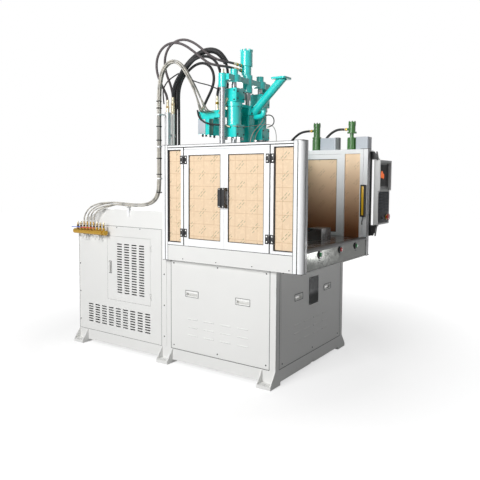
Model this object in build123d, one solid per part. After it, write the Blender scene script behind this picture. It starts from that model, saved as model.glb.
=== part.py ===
from build123d import *
from math import atan2, cos, degrees, hypot, pi, radians, sin, tan
import os

# Vertical injection moulding machine with a guarded work space and a rear power cabinet.
# Millimetres, +Z up. The origin is on the floor, at the centre of the four corner anchor holes.
# The operator stands at -Y. The long side with the two guard doors and the vents is -X.

os.makedirs("parts", exist_ok=True)

# Fits and plate thicknesses
seat = 0.3                 # gap at a seat between separate pieces
running = 0.05             # radial clearance of a running fit
sheet = 3.0                # painted sheet steel

# Base
base_width = 1270.0
base_length = 2286.0
main_length = 1120.0       # front section of the base, under the guard
section_gap = 2.0          # joint between the front section and the rear cabinet
plinth_bottom = 27.0
plinth_top = 134.0
base_top = 925.0
plinth_wall = 8.0
plinth_flange = 50.0
foot_reach = 75.0          # how far a foot stands out of the side
foot_width = 130.0
foot_inside = 80.0         # how far a foot reaches under the plinth
gusset = 10.0
anchor_hole = 22.0
anchor_out = 40.0          # anchor hole's centre, outwards from the side face
mid_foot_y = -28.0
notch_width = 60.0
notch_height = 22.0
corner_side = 54.0         # visible corner post width on the side
corner_front = 80.0        # visible corner post width on the front
angle_wall = 6.0
lip = 20.0                 # flange behind a panel's edge
panel_gap = 1.5
ring_height = 80.0
ring_flange = 60.0
beam_width = 100.0
beam_height = 140.0
beam_web = 10.0

# Panel details
slit_length = 107.0
slit_height = 5.0
slit_rows = 3
slit_columns = 4
slit_row_pitch = 70.5
side_slit_top = 418.0
front_slit_top = 427.0
slit_hood = 4.0
pull_length = 124.0
pull_height = 40.0
pull_depth = 16.0
pull_rim = 7.0
pull_rim_thick = 2.0
side_pull_z = 640.0
front_pull_z = 658.0

# Rear cabinet
cabinet_fold = 1183.0
cabinet_top = 1333.0
hood_side = 40.0           # inward lean of the hood at the sides
hood_rear = 317.0          # inward lean of the hood at the rear
vent_width = 64.0
vent_height = 11.0
vent_pitch_y = 95.4
vent_pitch_z = 24.2
vent_columns = 9
vent_columns_far = 4
vent_rows = 8
vent_first_y = 209.0
vent_first_z = 217.0
access_front = 173.0
access_rear = 732.0
access_bottom = 468.0
access_top = 1080.0
access_return = 22.0
door_vent_columns = 4
door_vent_rows = 20
door_vent_first_y = 282.0
door_vent_first_z = 549.0
latch_y = 692.0
latch_z = 781.0
latch_length = 100.0
latch_width = 16.0
latch_spindle = 12.0
cabinet_hinge_r = 4.5

# Power unit inside the rear cabinet
tank_width = 900.0
tank_depth = 470.0
tank_height = 400.0
tank_y = 850.0
motor_r = 125.0
motor_length = 430.0
pump_r = 70.0
pump_length = 190.0

# Guard
guard_out = 50.0           # guard's side face, outwards from the base's side
guard_front_out = 244.0    # guard's front face, forwards of the base's front
guard_top = 1912.0
skirt_top = 1058.0
post = 80.0
rear_post = 60.0
post_round = 38.0
groove = 8.0
groove_depth = 9.0
rail = 40.0
low_rail = 60.0            # width of the rail that also carries the deck
mullion = 30.0
pane = 5.0
pane_trim = 24.0
door_gap = 2.0
door_thick = 30.0
door_meeting_y = -681.0
front_mullion_y = -1108.0  # rear edge of the mullion that carries the front doors
rear_mullion_y = -259.0    # front edge of the mullion that carries the rear doors
hinge_stile = 52.0
meeting_stile = 36.0
door_head = 46.0
door_foot = 60.0
hinge_out = 6.0            # hinge axis, outwards from the guard's face
knuckle_r = 5.5
hinge_pin_r = 2.5
hinge_tall = 54.0
leaf_wide = 24.0
leaf_thick = 3.0
hinge_z = (1169.0, 1785.0)
handle_tall = 160.0
handle_out = 44.0
handle_wide = 30.0
handle_bar = 13.0
handle_z = 1476.0

# Deck and front sill
tray = 6.0
deck_top = 1088.0
sill_top = 1095.0
sill_cap = 24.0
sill_depth = 47.0
box_inset = 7.0
button_x = (-372.0, 23.0, 358.0)
button_z = 1040.0
collar_r = 24.0
collar_thick = 9.0
button_r = 18.0
button_proud = 16.0
button_stem = 8.0
button_travel = 4.0
curtain_tall = 296.0
curtain_z = 1433.0
curtain_wide = 48.0
curtain_thick = 34.0
riser_x = 245.0
riser_y = -1075.0

# Operator panel
panel_hinge_out = 50.0     # hinge pin, outwards from the guard's side face
panel_hinge_ahead = 38.0   # hinge pin, forwards of the guard's front face
panel_bottom = 1203.0
panel_top = 1812.0
panel_wide = 318.0
panel_deep = 46.0
visor_bottom = 1526.0
visor_extra = 34.0
visor_deep = 16.0
bracket_top = 1890.0
bracket_bottom = 1100.0
stop_in = 66.0             # stop button, inwards from the panel's free edge
stop_z = 1268.0

# Clamp
clamp_y = -448.0
platen_width = 860.0
platen_depth = 600.0
table_top = 1106.0
tie_x = 340.0
tie_y = 225.0
tie_r = 38.0
nut_r = 60.0
nut_tall = 38.0
lower_nut_tall = 25.0
spanner_slot = 14.0
upper_bottom = 1742.0
upper_thick = 128.0
pull_bottom = 330.0
pull_thick = 100.0
clamp_stroke = 260.0
cylinder_r = 125.0
cylinder_bore = 95.0
cylinder_tall = 405.0
piston_tall = 45.0
ram_r = 60.0
slot_neck = 18.0
slot_width = 30.0
slot_deep = 30.0
slot_head = 13.0

# Injection unit
unit_x = 215.0             # the two injection cylinders, each side of the middle
block = 140.0
lower_block = (1995.0, 2107.0)
upper_block = (2300.0, 2422.0)
flange_z = 2265.0
cylinder_round = 66.0
bridge_thick = 26.0
bridge_deep = 150.0
feed_wide = 116.0
feed_bottom = 2206.0
rod_r = 23.0
rod_bottom = 2190.0
stay_r = 25.0
tie_rod_r = 9.0
column_x = 345.0
column_y = -415.0
column_r = 25.0
column_top = 2547.0
cross_bottom = 2476.0
cross_top = 2539.0
boss_r = 57.0
cap_r = 35.0
cap_top = 2592.0
collar_bottom = 2422.0
collar_round = 37.0
drive_r = 46.0
drive_bottom = 2413.0
drive_top = 2571.0
motor_neck_r = 46.0
motor_step = 2668.0
screw_motor_r = 57.0
screw_motor_top = 2805.0
coupling_r = 30.0
coupling_bottom = 2345.0
screw_r = 20.0
screw_bottom = 1900.0
screw_tip = 30.0
barrel_r = 38.0
nozzle_z = 1760.0
cover = 94.0
flute = 9.0
chute_r = 37.0
chute_bore = 27.0
chute_start = (-534.0, 2248.0)
chute_end = (-803.0, 2500.0)
chute_plate = 140.0
chute_plate_thick = 16.0
arm_x = -225.0
arm_wide = 90.0
arm_end = -60.0
arm_z = 2234.0
arm_thick = 8.0
arm_drop = 58.0


def half(value):
    return value / 2


side = half(base_width)
front = -half(base_length)
rear = half(base_length)
split = front + main_length
guard_side = side + guard_out
guard_front = front - guard_front_out
guard_rear = split
panel_hinge_x = guard_side + panel_hinge_out
panel_hinge_y = guard_front - panel_hinge_ahead
anchor_x = side + anchor_out
anchor_y = rear - half(foot_width)


def box(x0, x1, y0, y1, z0, z1):
    """Axis-aligned solid between six planes."""
    return Pos((x0 + x1) / 2, (y0 + y1) / 2, (z0 + z1) / 2) * Box(x1 - x0, y1 - y0, z1 - z0)


def rod(x, y, z0, z1, r):
    """Upright cylinder."""
    return Pos(x, y, (z0 + z1) / 2) * Cylinder(r, z1 - z0)


def rod_x(x0, x1, y, z, r):
    """Cylinder along X."""
    return Pos((x0 + x1) / 2, y, z) * Rot(0, 90, 0) * Cylinder(r, x1 - x0)


def rod_y(x, y0, y1, z, r):
    """Cylinder along Y."""
    return Pos(x, (y0 + y1) / 2, z) * Rot(90, 0, 0) * Cylinder(r, y1 - y0)


def prism_y(points, y0, y1):
    """Outline in X and Z, drawn out along Y."""
    outline = Polyline(*[(x, 0, z) for x, z in points], close=True)
    return Pos(0, y0, 0) * extrude(make_face(outline), amount=y1 - y0, dir=(0, 1, 0))


def prism_x(points, x0, x1):
    """Outline in Y and Z, drawn out along X."""
    outline = Polyline(*[(0, y, z) for y, z in points], close=True)
    return Pos(x0, 0, 0) * extrude(make_face(outline), amount=x1 - x0, dir=(1, 0, 0))


def across(shape):
    """The same piece on the other side of the machine."""
    return mirror(shape, about=Plane.YZ)


def save(name, *shapes):
    solids = []
    for shape in shapes:
        solids.extend(shape.solids())
    export_step(Compound(children=solids) if len(solids) > 1 else solids[0], f"parts/{name}.step")


# Base frame

def foot(y):
    """One foot on the -X side: plate, two gussets and the anchor hole."""
    y0, y1 = y - half(foot_width), y + half(foot_width)
    plate = box(-side - foot_reach, -side + foot_inside, y0, y1, 0, plinth_bottom)
    plate -= rod(-anchor_x, y, -1, plinth_bottom + 1, half(anchor_hole))
    rib = [(-side - foot_reach, plinth_bottom), (-side, plinth_bottom), (-side, plinth_top - 4)]
    for start in (y0, y1 - gusset):
        plate += prism_y(rib, start, start + gusset)
    return plate


def plinth():
    body = box(-side, side, front, rear, plinth_bottom, plinth_top)
    inner_x, inner_y = side - plinth_wall, rear - plinth_wall
    body -= box(-inner_x, inner_x, -inner_y, inner_y,
                plinth_bottom + plinth_wall, plinth_top - plinth_wall)
    open_x, open_y = side - plinth_flange, rear - plinth_flange
    body -= box(-open_x, open_x, -open_y, open_y, plinth_top - plinth_wall - 1, plinth_top + 1)
    notch_top = plinth_bottom + notch_height
    body -= box(-half(notch_width), half(notch_width), front - 1, front + plinth_wall,
                plinth_bottom - 1, notch_top)
    cover_x = half(notch_width) + plinth_wall
    body += box(-cover_x, cover_x, front + plinth_wall, front + 2 * plinth_wall,
                plinth_bottom, notch_top + plinth_wall)
    return body


def corner_post(at_front):
    """Angle post on the -X side, with a lip behind each panel that it borders."""
    backset = sheet + seat
    if at_front:
        y_out, y_in, y_lip = front, front + corner_side, front + corner_side + lip
    else:
        y_out, y_in, y_lip = split, split - corner_side + section_gap, split - corner_side - lip
    y0, y1 = sorted((y_out, y_in))
    leg = box(-side, -side + angle_wall, y0, y1, plinth_top, base_top)
    l0, l1 = sorted((y_in, y_lip))
    joggle = box(-side + backset, -side + backset + angle_wall, l0 - 2, l1 + 2, plinth_top, base_top)
    leg += joggle
    if at_front:
        leg += box(-side, -side + corner_front, front, front + angle_wall, plinth_top, base_top)
        leg += box(-side + corner_front - 2, -side + corner_front + lip,
                   front + backset, front + backset + angle_wall, plinth_top, base_top)
    else:
        leg += box(-side, -side + corner_front, split - angle_wall, split, plinth_top, base_top)
    return leg


def top_ring():
    """Angle ring that closes the front section, and two beams under the table."""
    inset = sheet + seat
    x, y0, y1 = side - inset, front + inset, split
    ring = box(-x, x, y0, y1, base_top - ring_height, base_top)
    ring -= box(-x + angle_wall, x - angle_wall, y0 + angle_wall, y1 - angle_wall,
                base_top - ring_height - 1, base_top - plinth_wall)
    ring -= box(-x + ring_flange, x - ring_flange, y0 + ring_flange, y1 - ring_flange,
                base_top - plinth_wall - 1, base_top + 1)
    for y in (clamp_y - tie_y, clamp_y + tie_y):
        ring += table_beam(y, x - half(angle_wall))
    return ring


def table_beam(y, reach):
    bottom = base_top - beam_height
    beam = box(-reach, reach, y - half(beam_web), y + half(beam_web), bottom, base_top)
    for z in (bottom, base_top - beam_web):
        beam += box(-reach, reach, y - half(beam_width), y + half(beam_width), z, z + beam_web)
    for x in (-tie_x, tie_x):
        beam -= rod(x, y, bottom - 1, base_top + 1, tie_r + 4)
    return beam


def base_frame():
    frame = plinth() + top_ring()
    for y in (-anchor_y, mid_foot_y, anchor_y):
        frame += foot(y) + across(foot(y))
    for at_front in (True, False):
        piece = corner_post(at_front)
        frame += piece + across(piece)
    return frame + guard_floor()


# Panels of the front section

def slits(first, z_top):
    """Centres of the louvre slits, along the panel and in height."""
    for column in range(slit_columns):
        for row in range(slit_rows):
            yield first[column], z_top - row * slit_row_pitch


def louvre(along, z, x_face):
    """Pressed hood over one slit in a panel whose outer face looks to -X."""
    top = z + half(slit_height)
    profile = [(x_face + 0.5, top + 7), (x_face - slit_hood, top - 1), (x_face - slit_hood, top - 3),
               (x_face + 0.5, top + 3)]
    return prism_y(profile, along - half(slit_length), along + half(slit_length))


side_slits = [-317.0 - index * 172.5 for index in range(slit_columns)]
front_slits = [-285.0 + index * 175.7 for index in range(slit_columns)]
side_pulls = [-311.0, -834.0]
front_pulls = [-264.0, 287.0]


def pull_cutout(along, z, x_face):
    return box(x_face - 1, x_face + sheet + 1, along - half(pull_length) - seat,
               along + half(pull_length) + seat, z - half(pull_height) - seat, z + half(pull_height) + seat)


def pull_cup(along, z, x_face):
    """Moulded recessed pull: a rim on the panel and a cup behind it with a hooked upper edge."""
    rim = box(x_face - pull_rim_thick, x_face, along - half(pull_length) - pull_rim,
              along + half(pull_length) + pull_rim, z - half(pull_height) - pull_rim,
              z + half(pull_height) + pull_rim)
    cup = box(x_face, x_face + pull_depth, along - half(pull_length), along + half(pull_length),
              z - half(pull_height), z + half(pull_height))
    wall = 2.5
    hollow = box(x_face - 10, x_face + pull_depth - wall, along - half(pull_length) + wall,
                 along + half(pull_length) - wall, z - half(pull_height) + wall, z + half(pull_height) - 12)
    hook = box(x_face + 4, x_face + pull_depth - wall, along - half(pull_length) + wall,
               along + half(pull_length) - wall, z, z + half(pull_height) - wall)
    return rim + cup - hollow - hook


def flat_panel(start, end, slit_places, slit_z, pull_places, pull_z, x_face):
    """Panel in the plane x = x_face, looking to -X, between start and end along Y."""
    panel = box(x_face, x_face + sheet, start + panel_gap, end - panel_gap,
                plinth_top + panel_gap, base_top - panel_gap)
    for along, z in slits(slit_places, slit_z):
        panel -= box(x_face - 1, x_face + sheet + 1, along - half(slit_length) + 2,
                     along + half(slit_length) - 2, z - half(slit_height), z + half(slit_height))
        panel += louvre(along, z, x_face)
    for along in pull_places:
        panel -= pull_cutout(along, pull_z, x_face)
    return panel


def turn_to_front(shape):
    """Moves a piece from the -X side's plane to the front's, with +Y turned to -X."""
    return Rot(0, 0, 90) * shape


def side_panel():
    return flat_panel(front + corner_side, split - corner_side + section_gap,
                      side_slits, side_slit_top, side_pulls, side_pull_z, -side)


def front_panel():
    reach = side - corner_front
    places = [-along for along in front_slits]
    pulls = [-along for along in front_pulls]
    return turn_to_front(flat_panel(-reach, reach, places, front_slit_top, pulls, front_pull_z, front))


def panel_pulls():
    pulls = [pull_cup(along, side_pull_z, -side) for along in side_pulls]
    pulls += [across(pull) for pull in pulls]
    pulls += [turn_to_front(pull_cup(-along, front_pull_z, front)) for along in front_pulls]
    return pulls


# Rear cabinet

cabinet_front = split + section_gap


def cabinet_form(inset):
    """Outer or inner form of the cabinet: a box with a leaning hood on it."""
    x0, y0, y1 = side - inset, cabinet_front + inset, rear - inset
    body = box(-x0, x0, y0, y1, plinth_top - (1 if inset else 0), cabinet_fold)
    lower = Plane.XY.offset(cabinet_fold) * Pos(0, (y0 + y1) / 2) * Rectangle(2 * x0, y1 - y0)
    x2, y2 = side - hood_side - inset, rear - hood_rear - inset
    upper = Plane.XY.offset(cabinet_top - inset) * Pos(0, (y0 + y2) / 2) * Rectangle(2 * x2, y2 - y0)
    return body + loft([lower.face(), upper.face()])


def slot_grid(x0, x1, first_y, first_z, columns, rows):
    slots = []
    for column in range(columns):
        for row in range(rows):
            y = first_y + column * vent_pitch_y
            z = first_z + row * vent_pitch_z
            slots.append(box(x0, x1, y - half(vent_width), y + half(vent_width),
                             z - half(vent_height), z + half(vent_height)))
    return slots


def cabinet_shell():
    shell = cabinet_form(0) - cabinet_form(sheet)
    cuts = slot_grid(-side - 1, -side + sheet + 1, vent_first_y, vent_first_z, vent_columns, vent_rows)
    cuts += slot_grid(side - sheet - 1, side + 1, vent_first_y, vent_first_z, vent_columns_far, vent_rows)
    cuts.append(box(-side - 1, -side + sheet + 1, access_front, access_rear, access_bottom, access_top))
    cuts.append(box(-400, 400, cabinet_front - 1, cabinet_front + sheet + 1,
                    plinth_top + 80, base_top - 100))
    shell -= cuts
    for z in cabinet_hinge_z:
        shell += cabinet_knuckles(cabinet_hinge_y, z, fixed=True)
    return shell


cabinet_hinge_z = (access_bottom + 80, access_top - 80)
cabinet_hinge_x = -side - cabinet_hinge_r - 0.5
cabinet_hinge_y = access_front - 0.5


def cabinet_knuckles(y, z, fixed):
    """Outer knuckles with the pin on the cabinet, or the middle knuckle on its door."""
    tall = 20.0
    x = cabinet_hinge_x
    pin_r = 2.0
    if fixed:
        piece = rod(x, y, z - 1.5 * tall, z - half(tall), cabinet_hinge_r)
        piece += rod(x, y, z + half(tall), z + 1.5 * tall, cabinet_hinge_r)
        for z0 in (z - 1.5 * tall, z + half(tall)):
            piece += box(x, -side + 0.5, y - 14, y - 0.5, z0, z0 + tall)
        piece += rod(x, y, z - 1.5 * tall, z + 1.5 * tall, pin_r)
        return piece
    z0, z1 = z - half(tall) + seat, z + half(tall) - seat
    piece = rod(x, y, z0, z1, cabinet_hinge_r) + box(x, -side + 0.5, y + 1.5, y + 14, z0, z1)
    return piece - rod(x, y, z0 - 1, z1 + 1, pin_r + running)


def cabinet_door():
    y0, y1 = access_front + panel_gap, access_rear - panel_gap
    z0, z1 = access_bottom + panel_gap, access_top - panel_gap
    door = box(-side, -side + access_return, y0, y1, z0, z1)
    door -= box(-side + sheet, -side + access_return + 1, y0 + sheet, y1 - sheet, z0 + sheet, z1 - sheet)
    door -= slot_grid(-side - 1, -side + sheet + 1, door_vent_first_y, door_vent_first_z,
                      door_vent_columns, door_vent_rows)
    door -= rod_x(-side - 1, -side + sheet + 1, latch_y, latch_z, half(latch_spindle) + running)
    for z in cabinet_hinge_z:
        door += cabinet_knuckles(cabinet_hinge_y, z, fixed=False)
    return door


def cabinet_latch():
    """Quarter-turn lever with its spindle and the cam that holds the door."""
    lever = box(-side - 12, -side - 2, latch_y - half(latch_width), latch_y + half(latch_width),
                latch_z - half(latch_length), latch_z + half(latch_length))
    lever = fillet(lever.edges().filter_by(Axis.X), 6)
    lever += rod_x(-side - 2, -side - seat, latch_y, latch_z, 12)
    lever += rod_x(-side - 3, -side + 10, latch_y, latch_z, half(latch_spindle))
    lever += box(-side + sheet + seat, -side + 10, latch_y - 9, latch_y + 9, latch_z - 9, latch_z + 26)
    return lever


def oil_tank():
    bottom = plinth_bottom + plinth_wall
    tank = box(-half(tank_width), half(tank_width), tank_y - half(tank_depth), tank_y + half(tank_depth),
               bottom, bottom + tank_height)
    tank = fillet(tank.edges().filter_by(Axis.Z), 25)
    lid = box(-half(tank_width) - 12, half(tank_width) + 12, tank_y - half(tank_depth) - 12,
              tank_y + half(tank_depth) + 12, bottom + tank_height, bottom + tank_height + 10)
    filler = rod(-half(tank_width) + 90, tank_y - 140, bottom + tank_height, bottom + tank_height + 60, 42)
    return tank + lid + filler


def pump_motor():
    """Electric motor on the tank lid, with its bell housing and the pump."""
    base_z = plinth_bottom + plinth_wall + tank_height + 10
    axis_z = base_z + motor_r + 15
    x0 = -150.0
    body = rod_x(x0, x0 + motor_length, tank_y, axis_z, motor_r)
    for index in range(10):
        angle = 2 * pi * index / 10 + pi / 10
        fin = Pos(x0 + half(motor_length), tank_y, axis_z) * Rot(degrees(angle), 0, 0)
        body += fin * Pos(0, 0, motor_r) * Box(motor_length - 80, 6, 16)
    body += rod_x(x0 - 30, x0, tank_y, axis_z, motor_r - 20)
    body += rod_x(x0 - 90, x0 - 30, tank_y, axis_z, motor_r - 45)
    body += rod_x(x0 - 90 - pump_length, x0 - 90, tank_y, axis_z, pump_r)
    body += box(x0 + 60, x0 + motor_length - 60, tank_y - motor_r + 10, tank_y + motor_r - 10,
                base_z, axis_z - half(motor_r))
    return body


# Guard

def profile(x0, x1, y0, y1, z0, z1, rounded=None):
    """Upright extrusion with a groove in each side face, and one rounded corner if asked for."""
    bar = box(x0, x1, y0, y1, z0, z1)
    if rounded:
        edges = bar.edges().filter_by(Axis.Z)
        bar = fillet(sorted(edges, key=lambda e: hypot(e.center().X - rounded[0],
                                                       e.center().Y - rounded[1]))[0], post_round)
    xm, ym = (x0 + x1) / 2, (y0 + y1) / 2
    if rounded:
        xm += half(groove) * (1 if rounded[0] < xm else -1)
        ym += half(groove) * (1 if rounded[1] < ym else -1)
    cuts = [box(x0 - 1, x0 + groove_depth, ym - half(groove), ym + half(groove), z0 - 1, z1 + 1),
            box(x1 - groove_depth, x1 + 1, ym - half(groove), ym + half(groove), z0 - 1, z1 + 1),
            box(xm - half(groove), xm + half(groove), y0 - 1, y0 + groove_depth, z0 - 1, z1 + 1),
            box(xm - half(groove), xm + half(groove), y1 - groove_depth, y1 + 1, z0 - 1, z1 + 1)]
    return bar - cuts


def guard_posts():
    posts = [profile(-guard_side, -guard_side + post, guard_front, guard_front + post,
                     base_top, guard_top, rounded=(-guard_side, guard_front)),
             profile(-guard_side, -guard_side + rear_post, guard_rear - rear_post, guard_rear,
                     base_top, guard_top)]
    return posts + [across(piece) for piece in posts]


rail_bottom = guard_top - rail
opening_bottom = skirt_top + door_gap


def side_rail_cut(bar, z):
    """Groove along the outer face of a rail that runs along Y."""
    return bar - box(-guard_side - 1, -guard_side + groove_depth, guard_front, guard_rear,
                     z - half(groove), z + half(groove))


def side_rails():
    y0, y1 = guard_front + post, guard_rear - rear_post
    top = box(-guard_side, -guard_side + rail, y0, y1, rail_bottom, guard_top)
    top = side_rail_cut(top, guard_top - 22)
    inset = sheet + seat
    low = box(-guard_side + inset, -guard_side + inset + low_rail, y0, y1, skirt_top - rail, skirt_top)
    bars = [top, low]
    for y0, y1 in ((front_mullion_y - mullion, front_mullion_y),
                   (rear_mullion_y, rear_mullion_y + mullion)):
        bars.append(box(-guard_side, -guard_side + rail, y0, y1, skirt_top, rail_bottom))
    for y0, y1 in fixed_bays:
        bars.append(box(-guard_side, -guard_side + rail, y0, y1, skirt_top, skirt_top + pane_trim))
    return bars


fixed_bays = ((guard_front + post, front_mullion_y - mullion),
              (rear_mullion_y + mullion, guard_rear - rear_post))


def rear_rails():
    x = guard_side - rear_post
    bars = []
    for z0 in (rail_bottom, skirt_top - rail):
        bars.append(box(-x, x, guard_rear - rail - sheet - seat, guard_rear - sheet - seat, z0, z0 + rail))
    return bars


def guard_frame():
    rails = side_rails()
    return guard_posts() + rails + [across(bar) for bar in rails] + rear_rails()


def skirt_panels():
    """Sheet round the foot of the guard, and the sheet that closes its rear."""
    left = box(-guard_side, -guard_side + sheet, guard_front + post + seat, guard_rear - rear_post - seat,
               base_top, skirt_top - seat)
    x = guard_side - rear_post - seat
    back = box(-x, x, guard_rear - sheet, guard_rear, base_top, guard_top)
    return [left, across(left), back]


def fixed_panes():
    panes = []
    inner = -guard_side + half(rail)
    for y0, y1 in fixed_bays:
        panes.append(box(inner, inner + pane, y0 + seat, y1 - seat,
                         skirt_top + pane_trim + seat, rail_bottom - seat))
    return panes + [across(piece) for piece in panes]


class DoorPlace:
    """Where one guard door hangs, on the -X side; across() makes its twin."""

    def __init__(self, hinge_y, meeting_y):
        self.sense = 1 if meeting_y > hinge_y else -1
        self.axis_y = hinge_y + self.sense * half(door_gap)
        self.near = hinge_y + self.sense * door_gap
        self.far = meeting_y - self.sense * half(door_gap)
        self.low, self.high = sorted((self.near, self.far))


front_door_place = DoorPlace(front_mullion_y, door_meeting_y)
rear_door_place = DoorPlace(rear_mullion_y, door_meeting_y)
door_bottom = skirt_top + door_gap + 1
door_top = rail_bottom - door_gap
hinge_axis_x = -guard_side - hinge_out


def door_frame(place):
    """Door frame with a rebate for the pane."""
    x0, x1 = -guard_side, -guard_side + door_thick
    frame = box(x0, x1, place.low, place.high, door_bottom, door_top)
    y_hinge = place.near + place.sense * hinge_stile
    y_meet = place.far - place.sense * meeting_stile
    y0, y1 = sorted((y_hinge, y_meet))
    frame -= box(x0 - 1, x1 + 1, y0, y1, door_bottom + door_foot, door_top - door_head)
    frame -= box(x0 + 10, x0 + 10 + pane + 2 * seat, y0 - 8, y1 + 8,
                 door_bottom + door_foot - 8, door_top - door_head + 8)
    return frame


def door_pane(place):
    y_hinge = place.near + place.sense * hinge_stile
    y_meet = place.far - place.sense * meeting_stile
    y0, y1 = sorted((y_hinge, y_meet))
    x0 = -guard_side + 10 + seat
    edge = 8 - seat
    return box(x0, x0 + pane, y0 - edge, y1 + edge,
               door_bottom + door_foot - edge, door_top - door_head + edge)


def hinge_half(place, z, fixed):
    """Leaf and knuckles of one hinge. The fixed half holds the pin."""
    third = hinge_tall / 3
    x, y = hinge_axis_x, place.axis_y
    toward = -place.sense if fixed else place.sense
    y0, y1 = sorted((y + toward * 1.0, y + toward * leaf_wide))
    face = -guard_side - seat
    if fixed:
        spans = ((z - half(hinge_tall), z - half(third)), (z + half(third), z + half(hinge_tall)))
    else:
        spans = ((z - half(third) + seat, z + half(third) - seat),)
    leaf = box(face - leaf_thick, face, y0, y1, z - half(hinge_tall), z + half(hinge_tall))
    for z0, z1 in spans:
        leaf += rod(x, y, z0, z1, knuckle_r)
        n0, n1 = sorted((y, y + toward * 2))
        leaf += box(face - leaf_thick, face, n0, n1, z0, z1)
    if fixed:
        z0, z1 = spans[0][1] - 1, spans[1][0] + 1
        clear = rod(x, y, spans[0][1], spans[1][0], knuckle_r + seat)
        leaf = leaf - clear + rod(x, y, z0, z1, hinge_pin_r)
    else:
        leaf -= rod(x, y, z - half(hinge_tall), spans[0][0] - seat, knuckle_r + seat)
        leaf -= rod(x, y, spans[0][1] + seat, z + half(hinge_tall), knuckle_r + seat)
        leaf -= rod(x, y, z - half(hinge_tall), z + half(hinge_tall), hinge_pin_r + running)
    return leaf


def fixed_leaves():
    leaves = [hinge_half(place, z, True) for place in (front_door_place, rear_door_place) for z in hinge_z]
    return leaves + [across(leaf) for leaf in leaves]


def door_handle(place):
    """Pull handle on the meeting stile: a flat grip on two feet."""
    y = place.far - place.sense * half(meeting_stile)
    face = -guard_side - seat
    outer = box(face - handle_out, face, y - half(handle_wide), y + half(handle_wide),
                handle_z - half(handle_tall), handle_z + half(handle_tall))
    outer = fillet(outer.edges().filter_by(Axis.Y).group_by(Axis.X)[0], 22)
    gap = box(face - handle_out + handle_bar, face + 1, y - handle_wide, y + handle_wide,
              handle_z - half(handle_tall) + 26, handle_z + half(handle_tall) - 26)
    gap = fillet(gap.edges().filter_by(Axis.Y).group_by(Axis.X)[0], 10)
    return outer - gap


def door_leaf(place):
    """All that swings with one door apart from its pane."""
    return [door_frame(place), door_handle(place)] + [hinge_half(place, z, False) for z in hinge_z]


# Deck, sill and controls

def guard_floor():
    """Floor plate welded on the base, as wide as the guard, open round the table and the posts."""
    floor = box(-guard_side + sheet + seat, guard_side - sheet - seat, guard_front + 2, guard_rear - sheet - seat,
                base_top, base_top + tray)
    margin = 4
    floor -= box(-half(platen_width) - margin, half(platen_width) + margin, clamp_y - half(platen_depth) - margin,
                 clamp_y + half(platen_depth) + margin, base_top - 1, base_top + tray + 1)
    for x in (-guard_side, guard_side):
        inward = 1 if x < 0 else -1
        x0, x1 = sorted((x - inward, x + inward * (post + seat)))
        floor -= box(x0, x1, guard_front - 1, guard_front + post + seat, base_top - 1, base_top + tray + 1)
        x0, x1 = sorted((x - inward, x + inward * (rear_post + seat)))
        floor -= box(x0, x1, guard_rear - rear_post - seat, guard_rear + 1, base_top - 1, base_top + tray + 1)
    return floor


def deck():
    """Polished deck: a pan turned upside down on the lower rails, open round the table."""
    x = guard_side - rail - seat
    y0, y1 = guard_front + sill_depth + seat, guard_rear - sheet - seat - half(rail)
    top = box(-x, x, y0, y1, skirt_top, deck_top)
    inner_x, inner_y0, inner_y1 = x - sheet, y0 + sheet, y1 - sheet
    top -= box(-inner_x, inner_x, inner_y0, inner_y1, skirt_top - 1, deck_top - sheet)
    margin = 4
    top -= box(-half(platen_width) - margin, half(platen_width) + margin, clamp_y - half(platen_depth) - margin,
               clamp_y + half(platen_depth) + margin, skirt_top - 1, deck_top + 1)
    for x in (-guard_side, guard_side):
        inward = 1 if x < 0 else -1
        x0, x1 = sorted((x - inward, x + inward * (post + seat)))
        top -= box(x0, x1, guard_front - 1, guard_front + post + seat, skirt_top - 1, deck_top + 1)
        x0, x1 = sorted((x - inward, x + inward * (rear_post + seat)))
        top -= box(x0, x1, guard_rear - rear_post - seat, guard_rear + 1, skirt_top - 1, deck_top + 1)
    return top


box_face = guard_front + box_inset
sill_x = guard_side - post - seat


def front_sill():
    """Black cap over the control box."""
    cap = box(-sill_x, sill_x, guard_front, guard_front + sill_depth, sill_top - sill_cap, sill_top)
    return chamfer(cap.edges().filter_by(Axis.X).group_by(Axis.Z)[-1].group_by(Axis.Y)[0], 8)


def control_box():
    body = box(-sill_x, sill_x, box_face, guard_front + sill_depth, base_top + tray, sill_top - sill_cap)
    body -= box(-sill_x + sheet, sill_x - sheet, box_face + sheet, guard_front + sill_depth + 1,
                base_top + tray + sheet, sill_top - sill_cap - sheet)
    for x in button_x:
        body -= rod_y(x, box_face - 1, box_face + sheet + 1, button_z, button_stem + running)
    return body


def button_collars():
    collars = []
    for x in button_x:
        ring = rod_y(x, box_face - collar_thick, box_face, button_z, collar_r)
        ring -= rod_y(x, box_face - collar_thick - 1, box_face + 1, button_z, button_r + 0.6)
        collars.append(ring)
    return collars


def push_button(x):
    """Cap and stem; it travels into the box against its spring."""
    tip = box_face - collar_thick - button_proud + 8
    cap = rod_y(x, tip, box_face - button_travel - 1, button_z, button_r)
    cap = fillet(cap.edges().group_by(Axis.Y)[0], 4)
    return cap + rod_y(x, box_face - button_travel - 1.5, box_face + 20, button_z, button_stem)


def light_curtains():
    x1 = guard_side - post - seat
    y0 = guard_front + 12
    z0, z1 = curtain_z - half(curtain_tall), curtain_z + half(curtain_tall)
    bar = box(x1 - curtain_thick, x1, y0, y0 + curtain_wide, z0, z1)
    bar = fillet(bar.edges().filter_by(Axis.Z), 5)
    edge = 14.0
    bar -= box(x1 - curtain_thick - 1, x1 - curtain_thick + 2, y0 + edge, y0 + curtain_wide - edge,
               z0 + edge, z1 - edge)
    return [bar, across(bar)]


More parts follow.
